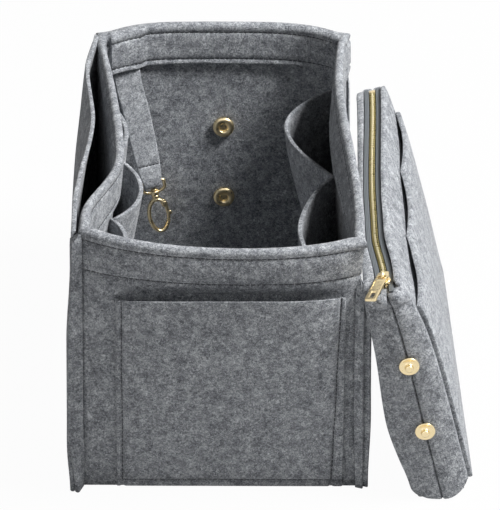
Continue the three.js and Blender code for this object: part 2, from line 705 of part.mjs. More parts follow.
function claspGate() {
  const arm = common(ovalRing(GATE_THICKNESS), gateStretch(CLASP_FIT));
  arm.translate(0, gateLow + GATE_THICKNESS / 2, 0);
  const knuckle = disc(KNUCKLE_RADIUS, gateLow, gateLow + GATE_THICKNESS);
  const thumb = rod(GATE_THUMB, gateLow, gateLow + GATE_THICKNESS).rotateX(-Math.PI / 2)
    .translate(HOOK_HALF_WIDTH, 0, hookCentre);
  return cut(joined(arm, knuckle, thumb), disc(PIN_RADIUS + CLASP_FIT, -HOOK_DEPTH, HOOK_DEPTH));
}
addPiece(hook, 'clasp_gate', claspGate(), PALE_GOLD);
const springY = gateLow + GATE_THICKNESS + CLASP_FIT + GATE_SPRING_WIRE / 2;
addPiece(hook, 'clasp_gate_spring',
  openRing(GATE_SPRING_RADIUS, GATE_SPRING_WIRE, springY, 1).rotateX(-Math.PI / 2)
    .translate(gatePivot.x, 0, gatePivot.y), SPRING_STEEL);

// Zip pouch: stands beside the box and leans on its corner flange
const pouch = new THREE.Group();
pouch.position.set(POUCH_X, POUCH_Y, POUCH_Z);
pouch.rotation.y = -POUCH_LEAN;
organizer.add(pouch);

const pouchRows = [0, 0.2, 0.4, 0.6, 0.75, 0.87, 0.94, 1].map((share) => share * POUCH_HEIGHT);

// Half-width of a pouch side as its flat strips between the rows give it
function stripHalf(halfAt, z, y) {
  const k = Math.max(1, pouchRows.findIndex((row) => row >= z));
  const share = (z - pouchRows[k - 1]) / (pouchRows[k] - pouchRows[k - 1]);
  return lerp(halfAt(pouchRows[k - 1], y), halfAt(pouchRows[k], y), share);
}

function pouchSide(sign, halfAt) {
  const last = pouchRows.length - 1;
  return mappedSlab(1, last, (u, v, w, point) => {
    const z = pouchRows[Math.round(v * last)];
    const y = (u - 0.5) * POUCH_LENGTH;
    point.set(sign * (halfAt(z, y) - w * FELT), y, z);
  });
}

const gussetTop = POUCH_HEIGHT - GUSSET_DROP;

function pouchGusset(sign) {
  const rows = 6;
  return mappedSlab(2, rows, (u, v, w, point) => {
    const z = lerp(FELT + LAYER_GAP, gussetTop, v);
    const left = -pouchLeft(z) + FELT + LAYER_GAP;
    const y = sign * (POUCH_LENGTH / 2 - w * FELT);
    const right = pouchRight(z, y) - FELT - LAYER_GAP;
    point.set(lerp(left, right, u), y, z);
  });
}

const studFrames = STUD_HEIGHTS.map((z) => {
  const frame = new THREE.Group();
  frame.position.set((pouchRight(z, -POUCH_LENGTH / 2) - pouchLeft(z)) / 2, -POUCH_LENGTH / 2, z);
  frame.rotation.x = Math.PI / 2;
  frame.updateMatrix();
  return frame;
});

const slipSeams = [SLIP_MARGIN - POUCH_LENGTH / 2, ...SLIP_INNER_SEAMS, POUCH_LENGTH / 2 - SLIP_MARGIN];

function slipPocket() {
  const perPocket = 6;
  const mouths = slipSeams.slice(1).map(() => SLIP_MOUTH);
  const stations = mouths.flatMap((_, k) =>
    Array.from({ length: perPocket }, (__, i) => lerp(slipSeams[k], slipSeams[k + 1], i / perPocket)));
  stations.push(slipSeams[slipSeams.length - 1]);
  const last = stations.length - 1;
  const top = POUCH_HEIGHT - SLIP_DROP;
  const rows = [SLIP_FOOT, ...pouchRows.filter((row) => row > SLIP_FOOT && row < top), top];
  return mappedSlab(last, rows.length - 1, (u, v, w, point) => {
    const z = rows[Math.round(v * (rows.length - 1))];
    const along = stations[Math.round(u * last)];
    const open = bulgeAt(along, slipSeams, mouths) * ((z - SLIP_FOOT) / (top - SLIP_FOOT)) ** 2;
    point.set(stripHalf(pouchRight, z, along) + LAYER_GAP + open + w * FELT, along, z);
  });
}

addPiece(pouch, 'pouch_left_panel', pouchSide(-1, pouchLeft), FELT_GREY);
addPiece(pouch, 'pouch_right_panel', pouchSide(1, pouchRight), FELT_GREY);
addPiece(pouch, 'pouch_base', mappedSlab(1, 1, (u, v, w, point) => {
  const y = (v - 0.5) * POUCH_LENGTH;
  const inset = FELT + LAYER_GAP;
  point.set(lerp(inset - POUCH_LEFT_FOOT, rightFoot(y) - inset, u), y, w * FELT);
}), FELT_GREY);
addPiece(pouch, 'pouch_front_gusset',
  cut(pouchGusset(-1), ...studFrames.map((frame) => postCut().applyMatrix4(frame.matrix))), FELT_GREY);
addPiece(pouch, 'pouch_back_gusset', pouchGusset(1), FELT_GREY);
addPiece(pouch, 'pouch_slip_pocket', slipPocket(), FELT_GREY);
['upper', 'lower'].forEach((place, k) => {
  addPiece(studFrames[k], `pouch_${place}_snap_stud`, snapStud(), PALE_GOLD);
  addPiece(studFrames[k], `pouch_${place}_snap_back`, snapBack(STUD_RADIUS, STUD_BORE), PALE_GOLD);
  pouch.add(studFrames[k]);
});

// Zip: two tapes sewn inside the pouch's top edges, each with a row of teeth, and stops at the ends
const zipZ = POUCH_HEIGHT - ZIP_DEPTH;
const tapeLength = POUCH_LENGTH - 2 * TAPE_MARGIN;
const chainStart = -tapeLength / 2 + SLIDER_LENGTH / 2 + STOP_LENGTH;
const toothCount = Math.floor((tapeLength / 2 - 2 * STOP_LENGTH - chainStart) / TOOTH_PITCH);
const chainLength = toothCount * TOOTH_PITCH;
const tapeOuter = POUCH_TOP_HALF - FELT - LAYER_GAP;

function zipTape(sign) {
  const edges = [sign * TAPE_GAP / 2, sign * tapeOuter].sort((a, b) => a - b);
  return block([edges[0], -tapeLength / 2, zipZ - TAPE / 2], [edges[1], tapeLength / 2, zipZ + TAPE / 2]);
}

// One comb of teeth, each with a pinched neck and a wider head that sits between two opposite teeth
function toothRow(sign, phase) {
  const outline = new THREE.Shape();
  const headHalf = (TOOTH_PITCH / 2 - LAYER_GAP) / 2;
  const spineEdge = SPINE - CHAIN_HALF;
  outline.moveTo(-CHAIN_HALF, chainStart);
  outline.lineTo(spineEdge, chainStart);
  for (let k = 0; k < toothCount; k += 1) {
    const middle = chainStart + (k + phase) * TOOTH_PITCH;
    outline.lineTo(spineEdge, middle - headHalf);
    outline.lineTo(TOOTH_REACH, middle - headHalf * 0.8);
    outline.lineTo(TOOTH_REACH, middle + headHalf * 0.8);
    outline.lineTo(spineEdge, middle + headHalf);
  }
  outline.lineTo(spineEdge, chainStart + chainLength);
  outline.lineTo(-CHAIN_HALF, chainStart + chainLength);
  const row = new THREE.ExtrudeGeometry(outline, { depth: TOOTH_HEIGHT, bevelEnabled: false });
  row.translate(0, 0, zipZ - TOOTH_HEIGHT / 2);
  return sign < 0 ? row : row.scale(-1, 1, 1);
}

function zipStop(low, high) {
  const half = TOOTH_HEIGHT / 2;
  return block([low[0], low[1], zipZ - half], [high[0], high[1], zipZ + half]);
}

addPiece(pouch, 'zip_left_tape', zipTape(-1), TAPE_GREY);
addPiece(pouch, 'zip_right_tape', zipTape(1), TAPE_GREY);
addPiece(pouch, 'zip_left_teeth', toothRow(-1, 0.25), PALE_GOLD);
addPiece(pouch, 'zip_right_teeth', toothRow(1, 0.75), PALE_GOLD);
const stopNear = chainStart - LAYER_GAP;
const stopFar = chainStart + chainLength + LAYER_GAP;
addPiece(pouch, 'zip_left_top_stop',
  zipStop([-CHAIN_HALF, stopNear - STOP_LENGTH], [-LAYER_GAP, stopNear]), PALE_GOLD);
addPiece(pouch, 'zip_right_top_stop',
  zipStop([LAYER_GAP, stopNear - STOP_LENGTH], [CHAIN_HALF, stopNear]), PALE_GOLD);
addPiece(pouch, 'zip_bottom_stop',
  zipStop([-CHAIN_HALF, stopFar], [CHAIN_HALF, stopFar + STOP_LENGTH]), PALE_GOLD);

// Slider: a plate over the chain with cheeks down both sides and a round bail for the pull
const slider = new THREE.Group();
const plateLow = TOOTH_HEIGHT / 2 + LAYER_GAP;
const plateHigh = plateLow + SLIDER_PLATE;
slider.position.set(0, chainStart + SLIDER_LENGTH / 2 - STOP_LENGTH, zipZ);
pouch.add(slider);
const bailZ = plateHigh + BAIL_LIFT;

function zipSlider() {
  const half = SLIDER_LENGTH / 2;
  const top = new THREE.Shape();
  top.moveTo(-SLIDER_TAIL_WIDTH / 2, half);
  top.lineTo(-SLIDER_TAIL_WIDTH / 2, 0);
  top.quadraticCurveTo(-SLIDER_NOSE_WIDTH / 2, -half * 0.3, -SLIDER_NOSE_WIDTH / 2, -half * 0.6);
  top.quadraticCurveTo(-SLIDER_NOSE_WIDTH / 2, -half, 0, -half);
  top.quadraticCurveTo(SLIDER_NOSE_WIDTH / 2, -half, SLIDER_NOSE_WIDTH / 2, -half * 0.6);
  top.quadraticCurveTo(SLIDER_NOSE_WIDTH / 2, -half * 0.3, SLIDER_TAIL_WIDTH / 2, 0);
  top.lineTo(SLIDER_TAIL_WIDTH / 2, half);
  const cheekLow = TAPE / 2 + LAYER_GAP;
  const body = new THREE.ExtrudeGeometry(top, {
    depth: plateHigh - cheekLow, bevelEnabled: false, curveSegments: 5,
  }).translate(0, 0, cheekLow);
  const channelHalf = CHAIN_HALF + LAYER_GAP;
  const channel = block([-channelHalf, -SLIDER_LENGTH, 0], [channelHalf, SLIDER_LENGTH, plateLow]);
  const arch = new THREE.Shape();
  arch.absarc(0, 0, BAIL_OUTER, 0, Math.PI);
  arch.lineTo(-BAIL_OUTER, -BAIL_LIFT - SLIDER_PLATE / 2);
  arch.lineTo(-BAIL_INNER, -BAIL_LIFT - SLIDER_PLATE / 2);
  arch.lineTo(-BAIL_INNER, 0);
  arch.absarc(0, 0, BAIL_INNER, Math.PI, 0, true);
  arch.lineTo(BAIL_INNER, -BAIL_LIFT - SLIDER_PLATE / 2);
  arch.lineTo(BAIL_OUTER, -BAIL_LIFT - SLIDER_PLATE / 2);
  const bail = plate(arch, BAIL_WIDTH, { curveSegments: 8 }).rotateZ(Math.PI / 2).translate(0, 0, bailZ);
  return joined(cut(body, channel), bail);
}
addPiece(slider, 'zip_slider', zipSlider(), PALE_GOLD);

// Pull: swings about the bar of its own eye, which lies under the bail; it points along -Y at rest
const pull = new THREE.Group();
pull.position.set(0, 0, bailZ);
pull.rotation.z = -PULL_YAW;
slider.add(pull);

function roundedRectangle(path, left, bottom, right, top, radius) {
  path.moveTo(left + radius, bottom);
  path.lineTo(right - radius, bottom);
  path.quadraticCurveTo(right, bottom, right, bottom + radius);
  path.lineTo(right, top - radius);
  path.quadraticCurveTo(right, top, right - radius, top);
  path.lineTo(left + radius, top);
  path.quadraticCurveTo(left, top, left, top - radius);
  path.lineTo(left, bottom + radius);
  path.quadraticCurveTo(left, bottom, left + radius, bottom);
  return path;
}

function zipPull() {
  const eyeNear = -PULL_EYE_BAR / 2;
  const eyeFar = eyeNear - PULL_EYE_LENGTH;
  const half = PULL_WIDTH / 2;
  const tip = PULL_EYE_BAR / 2 - PULL_LENGTH;
  const outline = roundedRectangle(new THREE.Shape(), -half, tip, half, PULL_EYE_BAR / 2, 0.9);
  outline.holes.push(roundedRectangle(
    new THREE.Path(), -PULL_EYE_WIDTH / 2, eyeFar, PULL_EYE_WIDTH / 2, eyeNear, 0.4));
  const slotTip = tip + 2 * PULL_RIM;
  outline.holes.push(roundedRectangle(
    new THREE.Path(), -PULL_SLOT_WIDTH / 2, slotTip, PULL_SLOT_WIDTH / 2, slotTip + PULL_SLOT_LENGTH, 0.6));
  const tab = new THREE.ExtrudeGeometry(outline, {
    depth: PULL_THICKNESS, bevelEnabled: false, curveSegments: 3,
  }).translate(0, 0, -PULL_THICKNESS / 2);
  const recessHalf = half - PULL_RIM;
  const recess = block(
    [-recessHalf, slotTip + PULL_SLOT_LENGTH + PULL_RIM, PULL_THICKNESS / 2 - PULL_RECESS],
    [recessHalf, eyeFar - PULL_RIM, PULL_THICKNESS]);
  return cut(tab, recess);
}
addPiece(pull, 'zip_pull', zipPull(), PALE_GOLD);

export default organizer;
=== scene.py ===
"""Looks of a felt purse organizer insert with a leaning zip pouch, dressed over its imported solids."""

import json
import logging
import math
from dataclasses import dataclass, field
from enum import Enum
from typing import Any, Callable, Iterable, Optional, Sequence

import bmesh
import bpy
from mathutils import Matrix, Vector, noise


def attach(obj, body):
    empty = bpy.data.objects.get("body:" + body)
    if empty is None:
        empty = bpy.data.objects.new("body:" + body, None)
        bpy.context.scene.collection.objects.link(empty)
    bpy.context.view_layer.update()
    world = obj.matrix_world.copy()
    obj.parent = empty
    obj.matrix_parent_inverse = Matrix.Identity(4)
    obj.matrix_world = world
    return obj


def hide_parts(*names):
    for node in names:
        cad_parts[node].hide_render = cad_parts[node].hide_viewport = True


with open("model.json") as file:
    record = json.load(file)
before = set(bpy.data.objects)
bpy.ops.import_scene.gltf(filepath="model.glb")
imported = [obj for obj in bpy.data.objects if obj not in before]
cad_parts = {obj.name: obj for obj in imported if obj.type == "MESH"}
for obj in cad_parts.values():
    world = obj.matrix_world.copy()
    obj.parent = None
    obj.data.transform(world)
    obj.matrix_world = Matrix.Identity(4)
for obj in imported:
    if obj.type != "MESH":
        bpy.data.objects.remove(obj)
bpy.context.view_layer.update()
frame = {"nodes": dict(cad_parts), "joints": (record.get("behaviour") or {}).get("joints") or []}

LOG = logging.getLogger("felt_organizer")
MM = 0.001
NOISE_SEED = 7
Mesh = bmesh.types.BMesh
Tree, Node, Socket = bpy.types.NodeTree, bpy.types.Node, bpy.types.NodeSocket
Pair = tuple[float, float]
Place = Callable[[float, float, float], Vector]


class Body(str, Enum):
    """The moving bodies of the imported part."""

    ORGANIZER = "organizer"
    STRAP = "strap"
    HOOK = "hook"
    GATE = "gate"
    POUCH = "pouch"
    SLIDER = "slider"
    PULL = "pull"


class Held(str, Enum):
    """How a felt or woven sheet is held."""

    FOLDED = "folded"
    HUNG = "hung"
    LAID = "laid"
    STRETCHED = "stretched"


# Finishes


def linear(code: str) -> tuple[float, float, float, float]:
    """Turns an sRGB hex value, #rrggbb, into linear red, green, blue and a full alpha."""
    parts = [int(code[k:k + 2], 16) / 255 for k in (1, 3, 5)]
    red, green, blue = [c / 12.92 if c <= 0.04045 else ((c + 0.055) / 1.055) ** 2.4 for c in parts]
    return red, green, blue, 1.0


def add_node(tree: Tree, kind: str, inputs: Optional[dict] = None, **settings: Any) -> Node:
    """Adds one node with its settings and links.

    Args:
        tree: the tree that takes the node.
        kind: the node's type name, without its common first part.
        inputs: for each input, by name or number, a value or the socket that feeds it.
        settings: the node's own properties.

    Returns:
        The new node.
    """
    node = tree.nodes.new("ShaderNode" + kind)
    for key, value in settings.items():
        setattr(node, key, value)
    for key, value in (inputs or {}).items():
        if isinstance(value, Socket):
            tree.links.new(value, node.inputs[key])
        else:
            node.inputs[key].default_value = value
    return node


@dataclass(frozen=True)
class Skin:
    """A material's tree and shader, with the steps that several finishes share."""

    tree: Tree
    shader: Node

    def where(self) -> Socket:
        """Returns the place on the piece, in metres."""
        return add_node(self.tree, "TexCoord").outputs["Object"]

    def grain(self, size: float, **inputs: float) -> Socket:
        """Returns noise with grains about this many millimetres across."""
        inputs = {"Vector": self.where(), "Scale": 1 / (size * MM), **inputs}
        return add_node(self.tree, "TexNoise", inputs).outputs["Fac"]

    def waves(self, size: float, direction: str, **inputs: float) -> Socket:
        """Returns bands that lie this many millimetres apart."""
        inputs = {"Vector": self.where(), "Scale": 0.314 / (size * MM), **inputs}
        return add_node(self.tree, "TexWave", inputs, bands_direction=direction).outputs["Fac"]

    def maths(self, operation: str, *values: Any) -> Socket:
        """Returns the outcome of one operation on values and sockets."""
        return add_node(self.tree, "Math", dict(enumerate(values)), operation=operation).outputs[0]

    def ranged(self, value: Socket, start: Pair, end: Pair = (0.0, 1.0), way: str = "LINEAR") -> Socket:
        """Returns a value carried from one range into another."""
        names = ("Value", "From Min", "From Max", "To Min", "To Max")
        return add_node(self.tree, "MapRange", dict(zip(names, (value, *start, *end))),
                        interpolation_type=way).outputs[0]

    def feed(self, name: str, value: Any) -> None:
        """Sets one of the shader's inputs, or links a socket to it."""
        if isinstance(value, Socket):
            self.tree.links.new(value, self.shader.inputs[name])
        else:
            self.shader.inputs[name].default_value = value

    def colour(self, share: Socket, codes: Sequence[str]) -> None:
        """Colours the surface by a ramp of evenly spread sRGB values."""
        ramp = add_node(self.tree, "ValToRGB", {"Fac": share})
        elements = ramp.color_ramp.elements
        while len(elements) < len(codes):
            elements.new(0.5)
        for k, code in enumerate(codes):
            elements[k].position = k / (len(codes) - 1)
            elements[k].color = linear(code)
        self.feed("Base Color", ramp.outputs["Color"])

    def bump(self, height: Socket, strength: float, depth: float) -> None:
        """Lifts the surface by a height that is this many millimetres deep."""
        bump = add_node(self.tree, "Bump", {"Height": height, "Strength": strength, "Distance": depth * MM})
        self.feed("Normal", bump.outputs["Normal"])


@dataclass(frozen=True)
class Finish:
    """A named surface finish and the material slot of the record that it belongs to."""

    name: str
    slot: str
    roughness: float

    def material(self) -> bpy.types.Material:
        """Returns the finish's material, made when it is first asked for."""
        made = bpy.data.materials.get(self.name)
        if made is None:
            made = bpy.data.materials.new(self.name)
            made.use_nodes = True
            skin = Skin(made.node_tree, made.node_tree.nodes["Principled BSDF"])
            skin.feed("Roughness", self.roughness)
            self.dress(skin)
        return made

    def dress(self, skin: Skin) -> None:
        """Adds the finish's own nodes to its shader."""
        raise NotImplementedError


@dataclass(frozen=True)
class FeltFinish(Finish):
    """Needle-punched polyester felt: matt heathered grey, with soft blotches, tufts and a fuzzy nap."""

    blotch_mm: float = 6.5
    tuft_mm: float = 1.7
    fibre_mm: float = 0.7
    tones: tuple[str, str, str] = ("#46494e", "#8d9095", "#dcdfe2")

    def dress(self, skin: Skin) -> None:
        """Mixes dark and pale fibres at three sizes, and lifts the tufts."""
        blotch = skin.grain(self.blotch_mm, Detail=2.0, Roughness=0.5)
        tuft = skin.grain(self.tuft_mm, Detail=3.0, Roughness=0.65, Distortion=1.2)
        fibre = skin.grain(self.fibre_mm, Detail=2.0, Roughness=0.7, Distortion=2.0)
        nap = skin.maths("MULTIPLY_ADD", tuft, 1.1, fibre)
        tone = skin.maths("MULTIPLY_ADD", blotch, 0.45, nap)
        skin.colour(skin.ranged(tone, (0.96, 1.59)), self.tones)
        skin.bump(nap, 0.55, 0.6)
        skin.feed("Sheen Weight", 0.18)
        skin.feed("Sheen Roughness", 0.5)
        skin.feed("Specular IOR Level", 0.1)


@dataclass(frozen=True)
class ThreadFinish(Finish):
    """Spun polyester thread: dark grey, with a fine twist that breaks up its shine."""

    twist_mm: float = 0.5

    def dress(self, skin: Skin) -> None:
        """Lays the twist of the plies across the stitches."""
        twist = skin.waves(self.twist_mm, "DIAGONAL", Distortion=2.0, Detail=1.0)
        skin.colour(twist, ("#1c1e21", "#303237"))
        skin.bump(twist, 0.4, 0.15)


@dataclass(frozen=True)
class TapeFinish(Finish):
    """Woven polyester zip tape: grey, with fine ribs across it and a slight shine."""

    # The real ribs are about 0.5 mm apart; they are drawn wider so that they show
    rib_mm: float = 1.3

    def dress(self, skin: Skin) -> None:
        """Lays ribs across the tape and runs yarns along it."""
        ribs = skin.waves(self.rib_mm, "Y", Distortion=0.6, Detail=1.0)
        yarns = skin.waves(0.7 * self.rib_mm, "X", Distortion=0.4)
        weave = skin.maths("MULTIPLY", ribs, yarns)
        skin.colour(weave, ("#575b5e", "#787d81"))
        skin.bump(weave, 0.5, 0.2)


@dataclass(frozen=True)
class PlatedFinish(Finish):
    """Polished plated metal: a bright tinted mirror, with faint polishing marks and handling haze."""

    tint: str = "#ecd9ae"
    haze_mm: float = 3.0
    mark_mm: float = 0.35

    def dress(self, skin: Skin) -> None:
        """Sets the metal and varies its gloss."""
        skin.feed("Metallic", 1.0)
        skin.feed("Base Color", linear(self.tint))
        haze = skin.grain(self.haze_mm, Detail=3.0)
        skin.feed("Roughness", skin.ranged(haze, (0.3, 0.7), (0.7 * self.roughness, 1.4 * self.roughness)))
        skin.bump(skin.grain(self.mark_mm, Detail=2.0), 0.06, 0.05)


@dataclass(frozen=True)
class Bow:
    """The sideways bend that the zip, and the felt beside it, take in the leaning pouch."""

    depth: float = 4.0
    rise: Pair = (-106.0, -56.0)
    fall: Pair = (-20.0, 120.0)

    def at(self, y: float) -> float:
        """Returns how far the chain lies to the left of its straight line at a place along it."""
        (low, top), (crest, foot) = self.rise, self.fall
        return self.depth * ease((y - low) / (top - low)) * (1 - ease((y - crest) / (foot - crest)))


@dataclass(frozen=True)
class ToothFinish(PlatedFinish):
    """Stamped brass teeth, with a painted highlight along the middle of the chain and painted shade, dull and olive,
    towards the tapes.
    """

    middle: Pair = (0.0, 0.0)
    half_mm: float = 2.0
    bow: Bow = Bow()
    # Painted shade at the chain's sides and a painted highlight at its middle
    tones: tuple[str, ...] = ("#6f6848", "#a89a63", "#f4e8c2", "#a89a63", "#6f6848")

    def dress(self, skin: Skin) -> None:
        """Adds the painted highlight and shade across the bowed chain to the plain metal."""
        super().dress(skin)
        place = add_node(skin.tree, "SeparateXYZ", {"Vector": skin.where()}).outputs
        x, y, half = (value * MM for value in (*self.middle, self.half_mm))
        rise, fall = ([y + value * MM for value in span] for span in (self.bow.rise, self.bow.fall))
        share = skin.ranged(place["Y"], rise, way="SMOOTHSTEP")
        depth = skin.ranged(place["Y"], fall, (self.bow.depth * MM, 0.0), "SMOOTHSTEP")
        across = skin.maths("MULTIPLY_ADD", share, depth, place["X"])
        # Paints the highlight along the chain's middle and the shade towards its sides
        skin.colour(skin.ranged(across, (x - half, x + half)), self.tones)


FELT = FeltFinish("needle_punched_grey_felt", "felt", 0.95)
# The key strap's felt is thinner; its paler tones are painted light, standing in for the brighter light that falls on
# the strap
STRAP_FELT_PAINTED_LIGHTER = FeltFinish("thin_pressed_grey_felt_painted_lighter", "felt", 0.95, tones=("#5c5f64", "#a2a5aa", "#e6e9ec"))
THREAD = ThreadFinish("spun_polyester_thread", "felt", 0.6)
TAPE = TapeFinish("woven_polyester_zip_tape", "zip_tape", 0.6)
GOLD = PlatedFinish("polished_pale_gold_plating", "pale_gold", 0.3)
STEEL = PlatedFinish("drawn_spring_steel", "spring_steel", 0.32, tint="#c9c9c6")


# Mesh making, in millimetres


def lerp(start: float, end: float, share: float) -> float:
    """Returns the value at a share of the way from start to end."""
    return start + (end - start) * share


def clamp(value: float) -> float:
    """Returns the value kept between 0 and 1."""
    return min(1.0, max(0.0, value))


def ease(share: float) -> float:
    """Returns a share of the way with a soft start and end."""
    share = clamp(share)
    return share * share * (3 - 2 * share)


def hump(distance: float, reach: float) -> float:
    """Returns a soft bump of height 1 that fades within about twice its reach."""
    return math.exp(-((distance / reach) ** 2))


def quarter(share: float) -> float:
    """Returns how far a quarter circle has dropped, from 1 at its start to 0 at its end."""
    return 1 - math.sqrt(1 - (1 - clamp(share)) ** 2)


def spread(start: float, end: float, count: int) -> list[float]:
    """Splits a stretch into a number of even steps."""
    return [lerp(start, end, k / count) for k in range(count + 1)]


def stations(start: float, end: float, step: float, marks: Iterable[float] = ()) -> list[float]:
    """Splits a stretch into steps of about one size, with close stations at each sewn line.

    Args:
        start: the first place.
        end: the last place.
        step: the wanted distance between two stations.
        marks: the places of sewn lines.

    Returns:
        The places in order.
    """
    close = [mark + shift for mark in marks for shift in (-1.8, -0.8, 0.0, 0.8, 1.8)]
    close = [place for place in close if start + 1.2 < place < end - 1.2]
    even = spread(start, end, max(1, round((end - start) / step)))[1:-1]
    even = [place for place in even if all(abs(place - other) > 1.1 for other in close)]
    return [start, *sorted(even + close), end]


def pinch(place: float, marks: Iterable[float]) -> float:
    """Returns how much of the felt's thickness is left near sewn lines."""
    return 1 - 0.55 * max((hump(place - mark, 0.9) for mark in marks), default=0.0)


def put(name: str, data: bpy.types.ID) -> bpy.types.Object:
    """Adds an object with its data to the scene."""
    made = bpy.data.objects.new(name, data)
    bpy.context.scene.collection.objects.link(made)
    return made


def settled(bm: Mesh, name: str) -> bpy.types.Mesh:
    """Turns a working mesh, which is used up, into a finished one."""
    mesh = bpy.data.meshes.new(name)
    bm.to_mesh(mesh)
    bm.free()
    return mesh


def show(
    bm: Mesh, name: str, body: Body, node: Optional[str], turn: Optional[Matrix] = None,
    finish: Finish = GOLD, crease: float = 60.0,
) -> bpy.types.Object:
    """Makes a piece of a mesh and lets it ride on a body.

    Args:
        bm: the mesh in millimetres, which is used up.
        name: the piece's name.
        body: the body that carries it.
        node: the solid that it stands for, if any.
        turn: the frame that the mesh was made in, if it isn't the part's own.
        finish: its surface finish.
        crease: the angle in degrees past which an edge stays sharp.

    Returns:
        The piece.
    """
    if turn is not None:
        bmesh.ops.transform(bm, matrix=turn, verts=bm.verts)
    bmesh.ops.scale(bm, vec=(MM, MM, MM), verts=bm.verts)
    bmesh.ops.recalc_face_normals(bm, faces=bm.faces)
    for face in bm.faces:
        face.smooth = True
    mesh = settled(bm, name)
    mesh.set_sharp_from_angle(angle=math.radians(crease))
    mesh.materials.append(finish.material())
    piece = put(name, mesh)
    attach(piece, body.value)
    if node:
        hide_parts(node)
    LOG.info("%s: %d faces, on %s", name, len(mesh.polygons), body.value)
    return piece


def show_sheet(
    bm: Mesh, name: str, body: Body, node: str, flat: Pair, held: Held, rests_on: str,
    turn: Optional[Matrix] = None, finish: Finish = FELT, **more: float,
) -> None:
    """Shows a felt or woven sheet.

    Args:
        bm, name, body, node, turn, finish: the piece, as for show.
        flat: its flat size in millimetres; not used.
        held: how it is held; not used.
        rests_on: the piece that carries it; not used.
        more: its area in square metres, where that isn't its flat size; not used.
    """
    piece = show(bm, name, body, node, turn, finish, crease=50.0)


def thicken(bm: Mesh, faces: Sequence[bmesh.types.BMFace], lift: float = 0.0) -> list[bmesh.types.BMVert]:
    """Closes flat faces into a slab and returns the corners of its upper side."""
    made = bmesh.ops.extrude_face_region(bm, geom=faces)["geom"]
    upper = [item for item in made if isinstance(item, bmesh.types.BMVert)]
    bmesh.ops.translate(bm, vec=(0, 0, lift), verts=upper)
    return upper


def bevel(bm: Mesh, edges: Sequence[bmesh.types.BMEdge], offset: float, segments: int) -> None:
    """Rounds edges."""
    bmesh.ops.bevel(
        bm, geom=edges, offset=offset, offset_type="OFFSET", segments=segments, profile=0.5,
        affect="EDGES", clamp_overlap=True, material=-1)


def softened(values: Sequence[float], size: float, soft: tuple[bool, bool], edge: float) -> list[Pair]:
    """Adds close stations at the soft ends of a stretch.

    Args:
        values: the stations.
        size: millimetres for one unit of the stations.
        soft: whether the first and the last end are soft.
        edge: the depth of the rounding in millimetres.

    Returns:
        Each station with the share of the felt's thickness there.
    """
    first, last, depth = values[0], values[-1], edge / size
    inner = [v for v in values if (not soft[0] or v > first + 1.3 * depth) and (not soft[1] or v < last - 1.3 * depth)]
    round_off = [(0.0, 0.5), (0.25, 0.83), (0.6, 0.96), (1.0, 1.0)]
    head = [(first + depth * d, share) for d, share in round_off] if soft[0] else []
    tail = [(last - depth * d, share) for d, share in reversed(round_off)] if soft[1] else []
    return head + [(v, 1.0) for v in inner] + tail


def felt_slab(
    us: Sequence[float], vs: Sequence[float], place: Place, bm: Optional[Mesh] = None,
    soft_u: tuple[bool, bool] = (True, True), edge: float = 0.8,
) -> Mesh:
    """Makes a closed felt sheet: a grid, thickened, put in place and rounded along its cut edges.

    Args:
        us: stations across the sheet.
        vs: stations along the sheet.
        place: gives the point for a station across, one along, and a share of the thickness.
        bm: the mesh that takes the sheet, if there is one.
        soft_u: whether the cut edges at the first and last station across are rounded.
        edge: the depth of the rounding.

    Returns:
        The mesh.
    """
    bm = bmesh.new() if bm is None else bm
    mid_u, mid_v = us[len(us) // 2], vs[len(vs) // 2]
    size_u = (place(us[1], mid_v, 0.5) - place(us[0], mid_v, 0.5)).length / (us[1] - us[0])
    size_v = (place(mid_u, vs[1], 0.5) - place(mid_u, vs[0], 0.5)).length / (vs[1] - vs[0])
    across, along = softened(us, size_u, soft_u, edge), softened(vs, size_v, (True, True), edge)
    last_u, last_v = len(across) - 1, len(along) - 1
    grid = bmesh.ops.create_grid(bm, x_segments=last_u, y_segments=last_v, size=0.5)["verts"]
    upper = thicken(bm, list({face for vert in grid for face in vert.link_faces}))
    for layer, verts in enumerate((grid, upper)):
        for vert in verts:
            u, thick_u = across[round((vert.co.x + 0.5) * last_u)]
            v, thick_v = along[round((vert.co.y + 0.5) * last_v)]
            vert.co = place(u, v, 0.5 + (layer - 0.5) * thick_u * thick_v)
    return bm


def wavy(place: Place, wave: float) -> Place:
    """Returns a form that wanders softly from the given one, by up to a wave, away from its foot."""
    def drifted(u: float, v: float, w: float) -> Vector:
        point = place(u, v, w)
        drift = noise.noise_vector(point * 0.03) * wave * clamp(point.z / 20)
        return point + Vector((drift.x, drift.y, 0))

    return drifted


def turned(profile: Sequence[Pair], steps: int = 40, turn: Optional[Matrix] = None, bm: Optional[Mesh] = None) -> Mesh:
    """Makes a shape turned about Z.

    Args:
        profile: radius and height of each point, a closed outline or one that starts and ends on the axis.
        steps: the number of steps round.
        turn: where the shape goes.
        bm: the mesh that takes the shape, if there is one.

    Returns:
        The mesh.
    """
    bm = bmesh.new() if bm is None else bm
    before = set(bm.verts)
    verts = [bm.verts.new((radius, 0, z)) for radius, z in profile]
    pairs = list(zip(verts, verts[1:]))
    if min(profile[0][0], profile[-1][0]) > 0:
        pairs.append((verts[-1], verts[0]))
    edges = [bm.edges.new(pair) for pair in pairs]
    bmesh.ops.spin(
        bm, geom=verts + edges, axis=(0, 0, 1), cent=(0, 0, 0), angle=2 * math.pi,
        steps=steps, use_merge=True, use_duplicate=False)
    bmesh.ops.remove_doubles(bm, verts=[vert for vert in bm.verts if vert not in before], dist=0.001)
    if turn is not None:
        bmesh.ops.transform(bm, matrix=turn, verts=[vert for vert in bm.verts if vert not in before])
    return bm


